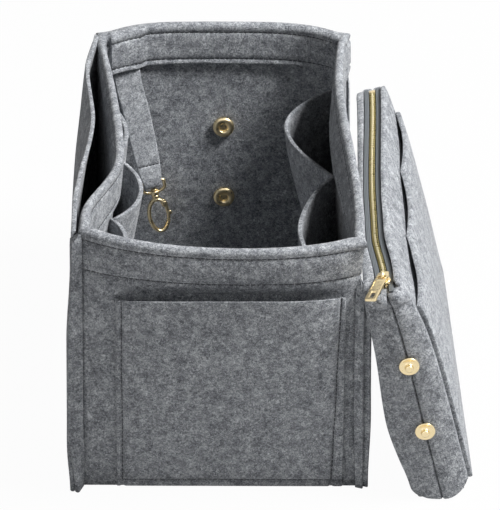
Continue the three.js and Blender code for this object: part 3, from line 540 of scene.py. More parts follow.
def swept(
    path: Sequence[Vector], across: Sequence[float], wide: float, deep: float,
    bm: Optional[Mesh] = None, closed: bool = False, segments: int = 12,
) -> Mesh:
    """Makes a rounded bar along a flat path.

    Args:
        path: the points of the bar's middle, in one plane.
        across: the direction square to that plane.
        wide: half the bar's width in the plane.
        deep: half its depth across the plane.
        bm: the mesh that takes the bar, if there is one.
        closed: whether the path comes back to its start.
        segments: the number of points round the bar.

    Returns:
        The mesh.
    """
    bm = bmesh.new() if bm is None else bm
    across, loops, count = Vector(across), [], len(path)
    for k, point in enumerate(path):
        after = path[(k + 1) % count] if closed or k + 1 < count else point
        before = path[k - 1] if closed or k > 0 else point
        tangent = (after - before).normalized()
        side = across.cross(tangent).normalized()
        turn = Matrix((side * wide, across * deep, tangent)).transposed().to_4x4()
        turn.translation = point
        ring = bmesh.ops.create_circle(bm, cap_ends=False, radius=1.0, segments=segments, matrix=turn)["verts"]
        loops.append(list({edge for vert in ring for edge in vert.link_edges}))
    for first, second in zip(loops, loops[1:] + loops[:1] if closed else loops[1:]):
        bmesh.ops.bridge_loops(bm, edges=first + second)
    if not closed:
        bmesh.ops.holes_fill(bm, edges=loops[0] + loops[-1], sides=0)
    return bm


def bar(bm: Mesh, low: Sequence[float], high: Sequence[float], edge: float, segments: int = 2) -> Mesh:
    """Adds a bar between two corners, with its edges rounded."""
    low, high = Vector(low), Vector(high)
    turn = Matrix.Translation((high + low) / 2) @ Matrix.Diagonal((*(high - low), 1))
    cube = bmesh.ops.create_cube(bm, size=1.0, matrix=turn)["verts"]
    bevel(bm, list({e for vert in cube for e in vert.link_edges}), edge, segments)
    return bm


def slotted_plate(
    xs: Sequence[float], ys: Sequence[float], half: float, holes: Sequence[tuple[int, int]], corner: float, edge: float,
) -> tuple[Mesh, list[bmesh.types.BMFace]]:
    """Makes a flat plate with rectangular holes, rounded at its corners and along its edges.

    Args:
        xs: the lines across the plate.
        ys: the lines along the plate.
        half: half its thickness.
        holes: the fields, by column and row, that are cut out.
        corner: the rounding of the plate's outer corners.
        edge: the rounding of all edges.

    Returns:
        The mesh and the faces of its upper side.
    """
    bm = bmesh.new()
    columns, rows = len(xs) - 1, len(ys) - 1
    grid = bmesh.ops.create_grid(bm, x_segments=columns, y_segments=rows, size=0.5)["verts"]
    middles = [(face, face.calc_center_median()) for face in bm.faces]
    cut = [face for face, at in middles if (int((at.x + 0.5) * columns), int((at.y + 0.5) * rows)) in holes]
    for vert in grid:
        vert.co = (xs[round((vert.co.x + 0.5) * columns)], ys[round((vert.co.y + 0.5) * rows)], -half)
    bmesh.ops.delete(bm, geom=cut, context="FACES")
    thicken(bm, bm.faces[:], 2 * half)
    bmesh.ops.recalc_face_normals(bm, faces=bm.faces)
    posts = [(e, e.verts[0].co) for e in bm.edges if abs(e.verts[0].co.z - e.verts[1].co.z) > 0.1]
    outer = [e for e, at in posts if abs(abs(at.x) - xs[-1]) < 1e-4
             and min(abs(at.y - ys[0]), abs(at.y - ys[-1])) < 1e-4]
    bevel(bm, outer, corner, 4)
    bevel(bm, [e for e in bm.edges if e.calc_face_angle(0.0) > 1.0], edge, 2)
    bm.normal_update()
    return bm, [face for face in bm.faces if face.normal.z > 0.99]


@dataclass
class Sewing:
    """The stitches of one body, laid one by one along their lines."""

    body: Body
    pitch: float = 3.2
    length: float = 3.4
    thread: float = 1.1
    fineness: int = 90
    bm: Mesh = field(default_factory=bmesh.new)

    def line(self, at: Callable[[float], tuple[Vector, Vector]], start: float, end: float) -> None:
        """Sews a line.

        Args:
            at: gives the point on the felt and the direction out of it for a place along the line.
            start: the first place.
            end: the last place.
        """
        spots = [at(place) for place in spread(start, end, self.fineness)]
        run = bmesh.new()
        walked, wanted = 0.0, self.pitch / 2
        for (point, out), (after, _) in zip(spots, spots[1:]):
            reach = (after - point).length
            while reach > 0 and walked + reach >= wanted:
                self.stitch(run, point.lerp(after, (wanted - walked) / reach), (after - point).normalized(), out)
                wanted += self.pitch
            walked += reach
        sewn = settled(run, "sewn_line")
        self.bm.from_mesh(sewn)
        bpy.data.meshes.remove(sewn)

    def stitch(self, run: Mesh, point: Vector, along: Vector, out: Vector) -> None:
        """Lays one stitch, half sunk in the felt."""
        side = out.cross(along).normalized()
        lift = along.cross(side).normalized()
        half = self.thread / 2
        turn = Matrix((side * half, lift * half, along * self.length / 2)).transposed().to_4x4()
        turn.translation = point - 0.1 * lift
        bmesh.ops.create_uvsphere(run, u_segments=6, v_segments=4, radius=1.0, matrix=turn)

    def show(self, name: str, turn: Optional[Matrix] = None) -> None:
        """Shows the finished stitches as one piece."""
        show(self.bm, name, self.body, None, turn, THREAD, crease=180.0)


def on_face(place: Place, u: float, v: float, w: float) -> tuple[Vector, Vector]:
    """Returns a point on a felt face, at thickness share 0 or 1, and the direction out of it."""
    point = place(u, v, w)
    return point, (point - place(u, v, 1 - w)).normalized()


# The box


@dataclass(frozen=True)
class Wall:
    """One wall of the box: its direction, run and reach, its swell or sag, belly, and push near the front."""

    along_x: bool
    sign: int
    run: float
    reach: float
    swell: float
    bow: Callable[[float], float]
    belly: float = 0.0
    push: float = 0.0


def flat_bow(u: float) -> float:
    """Returns the share of a swell that is nearly even along a wall."""
    return 1 - (2 * u - 1) ** 4


def round_bow(u: float) -> float:
    """Returns the share of a swell that is round along a wall."""
    return math.sin(math.pi * clamp(u))


def slack_bow(u: float) -> float:
    """Returns the share of a sag that is steep near the front and fades slowly to the back."""
    fall = 1 - 1.17 * clamp((u - 0.38) / 0.62) ** 1.4
    return ease((u - 0.07) / 0.3) * fall * ease((1 - u) / 0.04)


def skew_bow(u: float) -> float:
    """Returns the share of a swell that lies towards the far end of a wall."""
    return round_bow(clamp(u) ** 2)


def bulge_at(along: float, seams: Sequence[float], bulges: Sequence[float], skews: Sequence[float]) -> float:
    """Returns how far a pocket strip stands out between its seams; a skew moves a bulge's crown along."""
    for start, end, bulge, skew in zip(seams, seams[1:], bulges, skews):
        if start <= along <= end:
            return bulge * math.sin(math.pi * ((along - start) / (end - start)) ** skew) ** 0.8
    return 0.0


@dataclass
class FeltBox:
    """The open felt box: base, four hemmed walls with corner flanges, and its pockets."""

    felt: float = 3.0
    gap: float = 0.3
    hem: float = 28.0
    width: float = 170.0
    rim_draw: float = 10.0
    length: float = 250.0
    height: float = 177.0
    flange: float = 7.0
    flange_root: float = 2.0
    mitre: float = 0.25
    corner: float = 9.0
    corner_lift: float = 6.5
    corner_push: float = 3.6
    stitch_drops: Pair = (6.0, 24.5)
    front_swell: float = 11.0
    back_swell: float = 18.0
    left_sag: float = 18.0
    right_sag: float = 4.0
    right_belly: float = 8.0
    right_push: float = 5.0
    base_tuck: float = 0.8
    pocket_drop: float = 3.0
    pocket_belly: float = 7.5
    pocket_flares: Pair = (0.6, 6.3)
    patch: tuple[float, float, float, float] = (-62.0, 77.0, 2.0, 138.0)
    patch_rise: float = 4.0
    patch_mouth: float = 7.0
    patch_seam: float = 4.5
    patch_slant: Pair = (7.0, 3.0)
    strip_top: float = 143.0
    left_seams: tuple[float, ...] = (-114.0, -49.0, 25.0, 95.0)
    left_bulges: tuple[float, ...] = (17.0, 15.5, 10.0)
    right_seams: tuple[float, ...] = (-113.0, 1.0, 113.0)
    right_bulges: tuple[float, ...] = (28.0, 30.0)
    strap_x: float = -63.0
    strap_bump: float = 2.8
    socket_heights: Pair = (103.0, 52.0)
    step: float = 4.5

    def __post_init__(self) -> None:
        """Sets up the four walls and the sewing."""
        end = dict(along_x=True, run=self.width, reach=self.length / 2, bow=flat_bow)
        side = dict(along_x=False, run=self.length, reach=self.width / 2)
        self.front = Wall(sign=-1, swell=self.front_swell, **end)
        self.back = Wall(sign=1, swell=self.back_swell, **end)
        self.left = Wall(sign=-1, swell=-self.left_sag, bow=slack_bow, **side)
        self.right = Wall(
            sign=1, swell=-self.right_sag, bow=skew_bow, belly=-self.right_belly, push=self.right_push, **side)
        self.marks = [self.height - drop for drop in self.stitch_drops]
        self.sewing = Sewing(Body.ORGANIZER)

    def draw_in(self, z: float) -> float:
        """Returns how far the box is drawn in across at a height."""
        return 1 - (self.rim_draw / self.width) * (z / self.height)

    def wall_out(self, wall: Wall, along: float, depth: float, z: float) -> float:
        """Returns how far a wall's felt stands from the middle of the box."""
        u = clamp((along / (wall.run / 2 - depth - self.mitre) + 1) / 2)
        belly = wall.belly * round_bow(u) * round_bow(clamp(z / self.height) ** 2)
        push = wall.push * math.sin(math.pi * (1 - u) ** 2.2)
        return wall.reach - depth + (wall.swell * wall.bow(u) + push) * (z / self.height) + belly

    def on_wall(self, wall: Wall, along: float, out: float, z: float) -> Vector:
        """Returns the point at a place along a wall, a distance out and a height."""
        x, y = (along, wall.sign * out) if wall.along_x else (wall.sign * out, along)
        return Vector((x * self.draw_in(z), y, z))

    def rounded(self, point: Vector) -> Vector:
        """Returns a point of the hem with the box's corner rounded; the front left corner stays square."""
        if point.x < 0 and point.y < 0:
            return point
        share = ease((point.z - self.height + (12 if point.y < 0 else self.hem + 8)) / 10)
        dx = abs(point.x) - self.width / 2 * self.draw_in(point.z) + self.corner
        dy = abs(point.y) - self.length / 2 + self.corner
        if min(dx, dy) <= 0 or share == 0:
            return point
        pull = lerp(1, max(dx, dy) / math.hypot(dx, dy), share) - 1
        return point + Vector((math.copysign(dx * pull, point.x), math.copysign(dy * pull, point.y), 0))

    def lifted(self, point: Vector) -> Vector:
        """Returns a point with the hem raised at the front left corner and pushed out at the front right one."""
        side = self.width / 2 * self.draw_in(point.z)
        left, right = (math.hypot(point.x - x, point.y + self.length / 2) for x in (-side, side))
        share = clamp(point.z / self.height) ** 3
        return point + share * Vector((self.corner_push * hump(right, 50), 0, self.corner_lift * hump(left, 55)))

    def hem_station(self, s: float) -> tuple[float, float, float, float]:
        """Follows the felt up a wall, over the rim and down the hem.

        Args:
            s: the distance along the middle of the felt.

        Returns:
            Depth, height, and the depth and height of the outer face's direction.
        """
        radius = (self.felt + self.gap) / 2
        fold = self.height - radius - self.felt / 2
        if s <= fold:
            return self.felt / 2, s, -1, 0
        angle = min(math.pi, (s - fold) / radius)
        out_depth, out_z = -math.cos(angle), math.sin(angle)
        down = max(0.0, s - fold - math.pi * radius)
        return self.felt / 2 + radius * (1 + out_depth), fold + radius * out_z - down, out_depth, out_z

    def wall_place(self, wall: Wall) -> Place:
        """Returns the form of a hemmed wall: a share along it, a distance up its felt, a share of thickness."""
        upper, lower = self.marks

        def place(u: float, s: float, w: float) -> Vector:
            depth, z, out_depth, out_z = self.hem_station(s)
            thick = pinch(z, self.marks) if abs(out_z) < 0.5 else 1.0
            offset = (0.5 - w) * self.felt * thick
            depth += out_depth * offset
            z += out_z * offset
            along = u * (wall.run / 2 - depth - 0.02)
            out = self.wall_out(wall, along, depth, z)
            if wall is self.back and out_depth > 0:
                out -= self.strap_bump * ease((11.5 - abs(along - self.strap_x + 3)) / 1.6)
            if z > self.height - self.hem and out_depth < 0:
                out += 0.7 * round_bow((z - lower) / (upper - lower)) * (1 - u ** 6)
            if wall is self.front:
                out -= 5.0 * hump(z - self.patch[3] - 4.0, 5.0) * round_bow((along - self.patch[0]) / 139) ** 0.5
            if z < self.height - self.hem and out_depth < 0:
                out -= 2.6 * hump(wall.run / 2 - abs(along), 1.3)
            if wall is self.front:
                z -= 2.2 * round_bow((u + 1) / 2) * (z / self.height) ** 3
            return self.lifted(self.rounded(self.on_wall(wall, along, out, z)))

        return place

    def flange_place(self, corner: tuple[int, int], side: int, top: float, reach: Callable[[float], float]) -> Place:
        """Returns the form of half a corner flange.

        Args:
            corner: the signs of the corner's x and y.
            side: 1 for the side wall's half, -1 for the end wall's.
            top: the height at which it has narrowed to nothing.
            reach: how far the flange stands out at a height.

        Returns:
            A share of its reach, a height and a share of thickness, made into a point.
        """
        left_front, right_front = corner == (-1, -1), corner == (1, -1)

        def place(u: float, z: float, w: float) -> Vector:
            turn = math.radians(lerp(70, 15, ease(z / 50)) if left_front else 20 if right_front else 45)
            cos, sin = math.cos(turn), math.sin(turn)
            taper = ease((top - z) / (10 if right_front else 4)) * (1 if left_front else lerp(0.7, 1, ease(z / 55)))
            narrow = 1 - 0.35 * ease((z - 105) / 50) if left_front else 0.5 if right_front and side < 0 else 1
            out = lerp(-self.flange_root, reach(z) * taper * narrow, u)
            across = side * (0.12 + self.felt * w * lerp(0.2 if right_front else 0.5, 1, taper))
            x = self.width / 2 + out * cos + across * sin
            y = self.length / 2 + out * sin - across * cos
            return self.lifted(Vector((corner[0] * x * self.draw_in(z), corner[1] * y, z)))

        return place

    def make_walls(self, leaning: Callable[[float], float]) -> None:
        """Makes the four walls with their flanges, and sews their hems.

        Args:
            leaning: the reach of the front right flange, which gives way to the pouch.
        """
        low = self.height - self.hem - self.felt
        full = lambda z: self.flange
        corners = {
            (-1, -1): (self.height - self.felt, full), (1, -1): (low + 4, leaning),
            (-1, 1): (low, full), (1, 1): (low, lambda z: -0.5)}
        fold = self.height - self.felt - self.gap / 2
        arc = math.pi * (self.felt + self.gap) / 2
        down = fold + arc
        rows = stations(0, fold, self.step, self.marks) + [fold + arc * k / 6 for k in range(1, 6)]
        rows += stations(down, down + fold - self.height + self.hem, self.step, [down + fold - m for m in self.marks])
        walls = {
            "front_end": (self.front, -1, [(-1, -1), (1, -1)]), "back_end": (self.back, -1, [(-1, 1), (1, 1)]),
            "left_side": (self.left, 1, [(-1, -1), (-1, 1)]), "right_side": (self.right, 1, [(1, -1), (1, 1)])}
        for name, (wall, side, ends) in walls.items():
            place = wavy(self.wall_place(wall), 0.4)
            half = wall.run / 2
            close = [2.2 - half, half - 2.2]
            if wall is self.back:
                close += [self.strap_x - 13.7, self.strap_x + 7.7]
            shares = [u / half for u in stations(-half, half, self.step, close)]
            bm = felt_slab(shares, rows, place, soft_u=(wall in (self.front, self.left), False))
            for corner in ends:
                top, reach = corners[corner]
                felt_slab([0, 0.3, 0.65, 1], stations(0, top, 3.5), self.flange_place(corner, side, top, reach),
                          bm, soft_u=(False, True), edge=0.6)
            show_sheet(bm, f"felt_{name}_wall", Body.ORGANIZER, f"{name}_panel",
                       (wall.run + 2 * self.flange, self.height + self.hem), Held.FOLDED, "felt_base")
            for mark in self.marks:
                for s in (mark, down + fold - mark):
                    self.sewing.line(lambda along: on_face(place, along / half, s, 0), 4 - half, half - 4)

    def make_base(self) -> None:
        """Makes the base panel, tucked a little into the walls."""
        edge = self.felt - self.base_tuck

        def place(u: float, y: float, w: float) -> Vector:
            z = w * self.felt
            left, right = (self.wall_out(wall, y, self.felt, z) + self.base_tuck for wall in (self.left, self.right))
            return Vector((lerp(-left, right, u) * self.draw_in(z), y, z))

        bm = felt_slab(spread(0, 1, 28), stations(edge - self.length / 2, self.length / 2 - edge, 6), place)
        show_sheet(bm, "felt_base", Body.ORGANIZER, "base_panel",
                   (self.width - 2 * edge, self.length - 2 * edge), Held.LAID, "floor")

    def make_outer_pocket(self) -> None:
        """Makes the slip pocket over the outside of the left wall."""
        top = self.height - self.pocket_drop
        room = (self.mitre / math.sqrt(2) + self.felt + self.gap) * math.sqrt(2)

        def place(u: float, z: float, w: float) -> Vector:
            stand = self.gap + w * self.felt
            along = u * (self.length / 2 + stand - room)
            share, up = (u + 1) / 2, z / self.height
            swell = self.pocket_belly * math.sin(math.pi * up) * round_bow(share ** 1.5)
            drawn = 7 * up ** 5 * hump(share - 0.57, 0.24) + 1.4 * (1 - ease(z / 12))
            near = lerp(0.3, 1, up) * self.pocket_flares[0] * (1 - share) + 2.2 * up ** 2 * hump(share - 0.24, 0.22)
            far = self.pocket_flares[1] * share ** 2 + 1.5 * up * hump(share - 0.78, 0.15)
            far *= ease((1 - share) / 0.16) * ease(up / 0.25)
            out = self.left.reach + stand + near + far + swell - drawn
            z *= 1 + 0.017 * ease((share - 0.85) / 0.12)
            return self.lifted(self.on_wall(self.left, along, out, z))

        bm = felt_slab(spread(-1, 1, 56), stations(0, top, self.step), wavy(place, 0.6))
        show_sheet(bm, "felt_left_outer_pocket", Body.ORGANIZER, "left_outer_pocket_panel",
                   (self.length, top), Held.STRETCHED, "felt_left_side_wall")

    def make_patch(self) -> None:
        """Makes the patch pocket on the front wall and sews its sides and foot."""
        left, right, foot, top = self.patch
        near, seam_z = left + 3.6, foot + self.patch_seam

        def far(z: float) -> float:
            return right - lerp(*self.patch_slant, (z - foot) / (top - foot))

        def flat(along: float, z: float, w: float) -> Vector:
            u, v = (along - left) / (right - left), clamp((z - foot) / (top - foot))
            stand = self.patch_mouth * round_bow(u) ** 0.7 * v ** 1.4
            thick = self.felt * min(pinch(along, [near, far(z)]), pinch(z, [seam_z]))
            along += u * lerp(-2.5, 1, v)
            z += (self.patch_rise + 2.5) * round_bow(u) ** 0.6 * v + 2.5 * v ** 3
            z -= 2.6 * (1 - w) * ease((v - 0.95) / 0.05)
            out = self.wall_out(self.front, along, 0, z) + self.gap + stand + w * thick
            return self.on_wall(self.front, along, out, z)

        place = wavy(flat, 0.4)
        close = [near, *[right - k for k in range(2, 9)]]
        bm = felt_slab(stations(left, right, self.step, close), stations(foot, top, self.step, [seam_z]), place)
        show_sheet(bm, "felt_front_patch_pocket", Body.ORGANIZER, "front_patch_pocket",
                   (right - left, top - foot), Held.STRETCHED, "felt_front_end_wall")
        for seam in (lambda z: near, far):
            self.sewing.line(lambda z: on_face(place, seam(z), z, 1), foot + 4, top - 2)
        self.sewing.line(lambda along: on_face(place, along, seam_z, 1), near, far(foot))

    def make_strips(self) -> None:
        """Makes the pocket strips inside the two side walls and sews them down."""
        foot = self.felt + self.gap
        strips = (("left", self.left, self.left_seams, self.left_bulges, (1.0, 1.0, 1.0)),
                  ("right", self.right, self.right_seams, self.right_bulges, (0.8, 1.25)))
        for name, wall, seams, bulges, skews in strips:

            def flat(along: float, z: float, w: float) -> Vector:
                v = (z - foot) / (self.strip_top - foot)
                stand = bulge_at(along, seams, bulges, skews) * lerp(0.3, 1, v)
                thick = self.felt * pinch(along, seams)
                out = self.wall_out(wall, along, self.felt, z) - self.gap - stand - w * thick
                return self.on_wall(wall, along, out, z)

            place = wavy(flat, 0.5)
            bm = felt_slab(stations(seams[0], seams[-1], 3.5, seams[1:-1]),
                           stations(foot, self.strip_top, self.step), place)
            show_sheet(bm, f"felt_{name}_inner_pockets", Body.ORGANIZER, f"{name}_inner_pocket_strip",
                       (seams[-1] - seams[0] + 0.7 * sum(bulges), self.strip_top - foot),
                       Held.STRETCHED, f"felt_{name}_side_wall")
            for seam in (seams[0] + 2.5, *seams[1:-1], seams[-1] - 2.5):
                self.sewing.line(lambda z: on_face(place, seam, z, 1), foot + 3, self.strip_top - 1)

    def make_sockets(self, fastener: "PressFastener") -> None:
        """Sets the sockets and their caps in the back wall."""
        slope = math.atan2(self.back_swell, self.height)
        for name, z in zip(("upper", "lower"), self.socket_heights):
            spot = Vector((0, self.wall_out(self.back, 0, self.felt, z), z))
            turn = Matrix.Translation(spot) @ Matrix.Rotation(math.pi / 2 - slope, 4, "X")
            fastener.socket(f"{name}_press_socket", f"{name}_snap_socket", turn)
            fastener.back(f"{name}_press_socket_cap", f"{name}_snap_cap", Body.ORGANIZER,
                          fastener.socket_radius, 1, turn)

    def build(self, leaning: Callable[[float], float], fastener: "PressFastener") -> None:
        """Builds the box's felt, its sewing and its sockets."""
        self.make_base()
        self.make_walls(leaning)
        self.make_outer_pocket()
        self.make_patch()
        self.make_strips()
        self.sewing.show("box_stitches")
        self.make_sockets(fastener)


# Press fasteners


@dataclass
class PressFastener:
    """Press fasteners of plated metal, made with Z out of the felt face that carries them."""

    felt: float = 3.0
    seat: float = 0.3
    post: float = 1.4
    socket_radius: float = 7.1
    socket_depth: float = 3.2
    socket_mouth: float = 2.8
    stud_radius: float = 6.0
    stud_height: float = 4.0
    nub: float = 2.4

    def arc(self) -> list[Pair]:
        """Returns the cosine and sine of each step of a quarter turn."""
        return [(math.cos(a), math.sin(a)) for a in map(math.radians, range(0, 91, 15))]

    def socket(self, name: str, node: str, turn: Matrix) -> None:
        """Makes a socket: a rolled ring round a mouth with a deep bore."""
        r, seat, crown, mouth = self.socket_radius, self.seat, self.seat + self.socket_depth, self.socket_mouth
        rolled = [(r - 1.9 + 1.9 * cos, crown - 1.9 + 1.9 * sin) for cos, sin in self.arc()]
        bore = self.post + 0.4
        show(turned([
            (bore, seat), (r - 0.5, seat), (r, seat + 0.5), *rolled, (mouth + 0.9, crown - 0.1),
            (mouth + 0.35, crown - 0.35), (mouth, crown - 0.9), (mouth, seat + 1), (bore, seat + 1)], turn=turn),
            name, Body.ORGANIZER, node)

    def stud(self, name: str, node: str, turn: Matrix) -> None:
        """Makes a stud: a rimmed plate with a raised nub that narrows at its neck."""
        r, seat, nub, bore = self.stud_radius, self.seat, self.nub, self.post + 0.4
        crown, plate = seat + self.stud_height, seat + 1.1
        show(turned([
            (bore, seat), (r - 0.3, seat), (r, seat + 0.3), (r, plate - 0.35), (r - 0.15, plate - 0.1),
            (r - 0.45, plate), (r - 0.9, plate - 0.05), (r - 1.3, plate - 0.25), (nub + 0.9, plate - 0.25),
            (nub + 0.35, plate), (nub, plate + 0.6), (nub - 0.25, plate + 1.1), (nub - 0.1, plate + 1.6),
            (nub, plate + 2.1), (nub - 0.2, crown - 0.35), (nub - 0.7, crown - 0.05), (nub - 1.2, crown - 0.1),
            (0, crown - 0.35), (0, seat + 1.6), (bore, seat + 1.6)], turn=turn), name, Body.POUCH, node)

    def back(self, name: str, node: str, body: Body, radius: float, top: float, turn: Matrix) -> None:
        """Makes a domed back cap with the post that goes through the felt."""
        seat = -self.felt - self.seat
        dome = [(radius * sin, seat - 0.3 - 1.5 * cos) for cos, sin in self.arc()]
        show(turned([*dome, (radius, seat - 0.1), (radius - 0.1, seat), (self.post, seat), (self.post, top), (0, top)],
                    turn=turn), name, body, node)


# The key strap and its clasp


@dataclass
class KeyStrap:
    """The felt strap that hangs from the back hem, with its end sewn round the clasp's eye."""

    hinge: Vector
    width: float = 16.0
    end_width: float = 12.0
    felt: float = 2.5
    gap: float = 0.3
    length: float = 86.0
    tail: float = 15.0
    yaw: float = math.radians(15)
    tilt: float = math.radians(10)
    roll: float = math.radians(7)
    bend: float = 24.0
    eye_bar: Pair = (2.2, 2.4)

    def __post_init__(self) -> None:
        """Works out the strap's frame and the turn at its end."""
        self.loop = math.hypot(*self.eye_bar) / 2 + self.gap + self.felt / 2
        self.loop_z = -(self.length - self.loop - self.felt / 2)
        self.frame = (
            Matrix.Translation(self.hinge) @ Matrix.Rotation(self.yaw, 4, "Z") @ Matrix.Rotation(-self.tilt, 4, "X"))
        hang = Vector((-self.loop_z * math.sin(self.roll), self.loop, self.loop_z * math.cos(self.roll)))
        self.clasp_frame = self.frame @ Matrix.Translation(hang) @ Matrix.Rotation(-self.roll, 4, "Y")

    def station(self, s: float) -> tuple[float, float, float, float]:
        """Follows the strap down from its hinge, round the eye and up its tail.

        Args:
            s: the distance along the middle of the felt.

        Returns:
            Place across, height, and the two parts of the outer face's direction.
        """
        if s <= -self.loop_z:
            return 0, -s, -1, 0
        angle = min(math.pi, (s + self.loop_z) / self.loop)
        out_y, out_z = -math.cos(angle), -math.sin(angle)
        up = max(0.0, s + self.loop_z - math.pi * self.loop)
        settle = ease(up / (0.5 * self.tail))
        y = self.loop * (1 + out_y) - settle * (2 * self.loop - self.felt - self.gap)
        return y, self.loop_z + self.loop * out_z + up, out_y, out_z

    def place(self, u: float, s: float, w: float) -> Vector:
        """Returns a point of the strap: a share across, a distance along, a share of thickness."""
        y, z, out_y, out_z = self.station(s)
        thick = pinch(z, [self.loop_z + 0.9 * self.tail]) if abs(out_z) < 0.5 else 1.0
        thick *= lerp(0.45, 1, clamp((s + 1) / 2))
        offset = (0.5 - w) * self.felt * thick
        share = clamp(z / self.loop_z)
        x = u * lerp(self.width + 1.5, self.end_width, share ** 6) - lerp(3.2, 0.6, share)
        z += out_z * offset
        roll = self.roll * clamp(-z / self.bend)
        cos, sin = math.cos(roll), math.sin(roll)
        return Vector((x * cos - z * sin, y + out_y * offset, x * sin + z * cos))

    def build(self) -> None:
        """Builds the strap and the line that closes its loop."""
        turn = -self.loop_z
        back = turn + math.pi * self.loop
        seam = turn - 0.9 * self.tail
        rows = stations(-1, turn, 3, [seam]) + spread(turn, back, 8)[1:-1] + stations(back, back + self.tail, 3)
        # The strap's felt is painted lighter, for the light that falls on it
        show_sheet(felt_slab(spread(-0.5, 0.5, 6), rows, self.place, edge=0.6), "felt_key_strap", Body.STRAP,
                   "key_strap", (self.width, self.length + self.tail), Held.HUNG, "felt_back_end_wall",
                   self.frame, STRAP_FELT_PAINTED_LIGHTER)
        sewing = Sewing(Body.STRAP, pitch=2.4, length=2.5)
        sewing.line(lambda x: on_face(self.place, x, seam, 0), -0.46, 0.46)
        sewing.show("strap_stitches", self.frame)


@dataclass
class SwivelClasp:
    """The plated swivel clasp: eye, hook with a turned neck, rivet, sprung gate and its pin."""

    frame: Matrix
    bar: float = 2.2
    slot_half: float = 6.6
    slot_bottom: float = -6.2
    eye_bottom: float = -9.2
    neck_top: float = -9.5
    neck_bottom: float = -12.9
    centre: float = -24.35
    half_width: float = 7.6
    half_height: float = 12.6
    wire: float = 2.3
    depth: float = 4.2
    cheek: float = 0.7
    top_angle: float = 40.0
    tip_angle: float = -28.0
    knuckle: float = 1.8
    thumb: float = 1.5
    pin: float = 0.6
    gate_thick: float = 1.3
    fit: float = 0.3

    def ring(self, degrees: float) -> Vector:
        """Returns a point on the middle of the oval ring."""
        angle = math.radians(degrees)
        return Vector((
            (self.half_width - self.wire / 2) * math.cos(angle), 0,
            self.centre + (self.half_height - self.wire / 2) * math.sin(angle)))

    def disc(self, radius: float, low: float, high: float, at: Vector, bm: Optional[Mesh] = None) -> Mesh:
        """Makes a round plate with softened edges, its axis along Y."""
        soft = min(0.2, (high - low) / 4)
        return turned(
            [(0, low), (radius - soft, low), (radius, low + soft), (radius, high - soft), (radius - soft, high),
             (0, high)], 24, Matrix.Translation(at) @ Matrix.Rotation(-math.pi / 2, 4, "X"), bm)

    def make_eye(self) -> None:
        """Makes the eye: a bar for the strap, two sides and a bored boss."""
        side, shoulder, low, high = self.slot_half + self.bar / 2, -4.2, self.eye_bottom, self.slot_bottom
        foot = Vector((2.4, 0, low + 1.6))
        turns = ((0, 0), (side / 2, 0), (side - 0.9, 0), (side - 0.25, -0.25), (side, -0.9), (side, shoulder / 2))
        half = [Vector((x, 0, z)) for x, z in turns]
        start, pull = Vector((side, 0, shoulder)), Vector((side, 0, high - 0.8))
        half += [start.lerp(pull, t).lerp(pull.lerp(foot, t), t) for t in (0, 0.2, 0.4, 0.6, 0.8, 1)]
        other = [Vector((-p.x, 0, p.z)) for p in reversed(half[1:])]
        bm = swept(half + other, (0, 1, 0), self.bar / 2, 1.2, closed=True)
        turned([(1.5, low), (2.6, low), (3, low + 0.4), (3, high - 0.4), (2.6, high), (1.5, high)], 28, bm=bm)
        show(bm, "clasp_eye_bar", Body.STRAP, "clasp_swivel_eye", self.frame)

    def make_hook(self) -> None:
        """Makes the open oval ring, its turned neck and the ears that hold the gate, the rivet and the pin."""
        turns = spread(self.tip_angle, self.top_angle - 360, 40)
        bm = swept([self.ring(angle) for angle in turns], (0, 1, 0), self.wire / 2 + 0.2, self.depth / 2)
        top, low = self.neck_top, self.neck_bottom
        turned([
            (1.5, top - 2.9), (1.5, top), (2.2, top), (2.5, top - 0.3), (2.5, top - 1.2), (2.15, top - 1.6),
            (2.15, top - 2.4), (2.5, top - 2.8), (2.5, low + 0.3), (2.2, low - 0.9), (0, low - 0.9),
            (0, top - 2.9)], 28, bm=bm)
        pivot, edge = self.ring(self.top_angle), self.depth / 2
        for inner, outer in ((-edge, self.cheek - edge), (edge - self.cheek, edge)):
            self.disc(self.knuckle + self.fit, inner, outer, pivot, bm)
        show(bm, "clasp_hook_body", Body.HOOK, "clasp_hook", self.frame)
        head = self.slot_bottom + self.fit
        rivet = turned([
            (0, top - 2.6), (1.2, top - 2.6), (1.2, head), (2, head), (2.2, head + 0.2), (2.1, head + 0.7),
            (1.5, head + 1.1), (0, head + 1.2)], 24)
        show(rivet, "clasp_rivet", Body.HOOK, "clasp_swivel_rivet", self.frame)
        pin = self.disc(self.pin, -edge - 0.02, edge + 0.02, pivot)
        show(pin, "clasp_pin", Body.HOOK, "clasp_gate_pin", self.frame)

    def make_gate(self) -> None:
        """Makes the gate: a flat arm on the ring's line, its knuckle and a thumb piece."""
        low = self.cheek + self.fit - self.depth / 2
        high = low + self.gate_thick
        middle = Vector((0, low + self.gate_thick / 2, 0))
        path = [self.ring(angle) + middle for angle in spread(self.top_angle, self.tip_angle + 3, 10)]
        bm = swept(path, (0, 1, 0), self.wire / 2, self.gate_thick / 2)
        self.disc(self.knuckle, low, high, self.ring(self.top_angle), bm)
        self.disc(self.thumb, low, high, Vector((self.half_width, 0, self.centre)), bm)
        show(bm, "clasp_sprung_gate", Body.GATE, "clasp_gate", self.frame)

    def build(self) -> None:
        """Builds all pieces of the clasp."""
        self.make_eye()
        self.make_hook()
        self.make_gate()


# The zip pouch


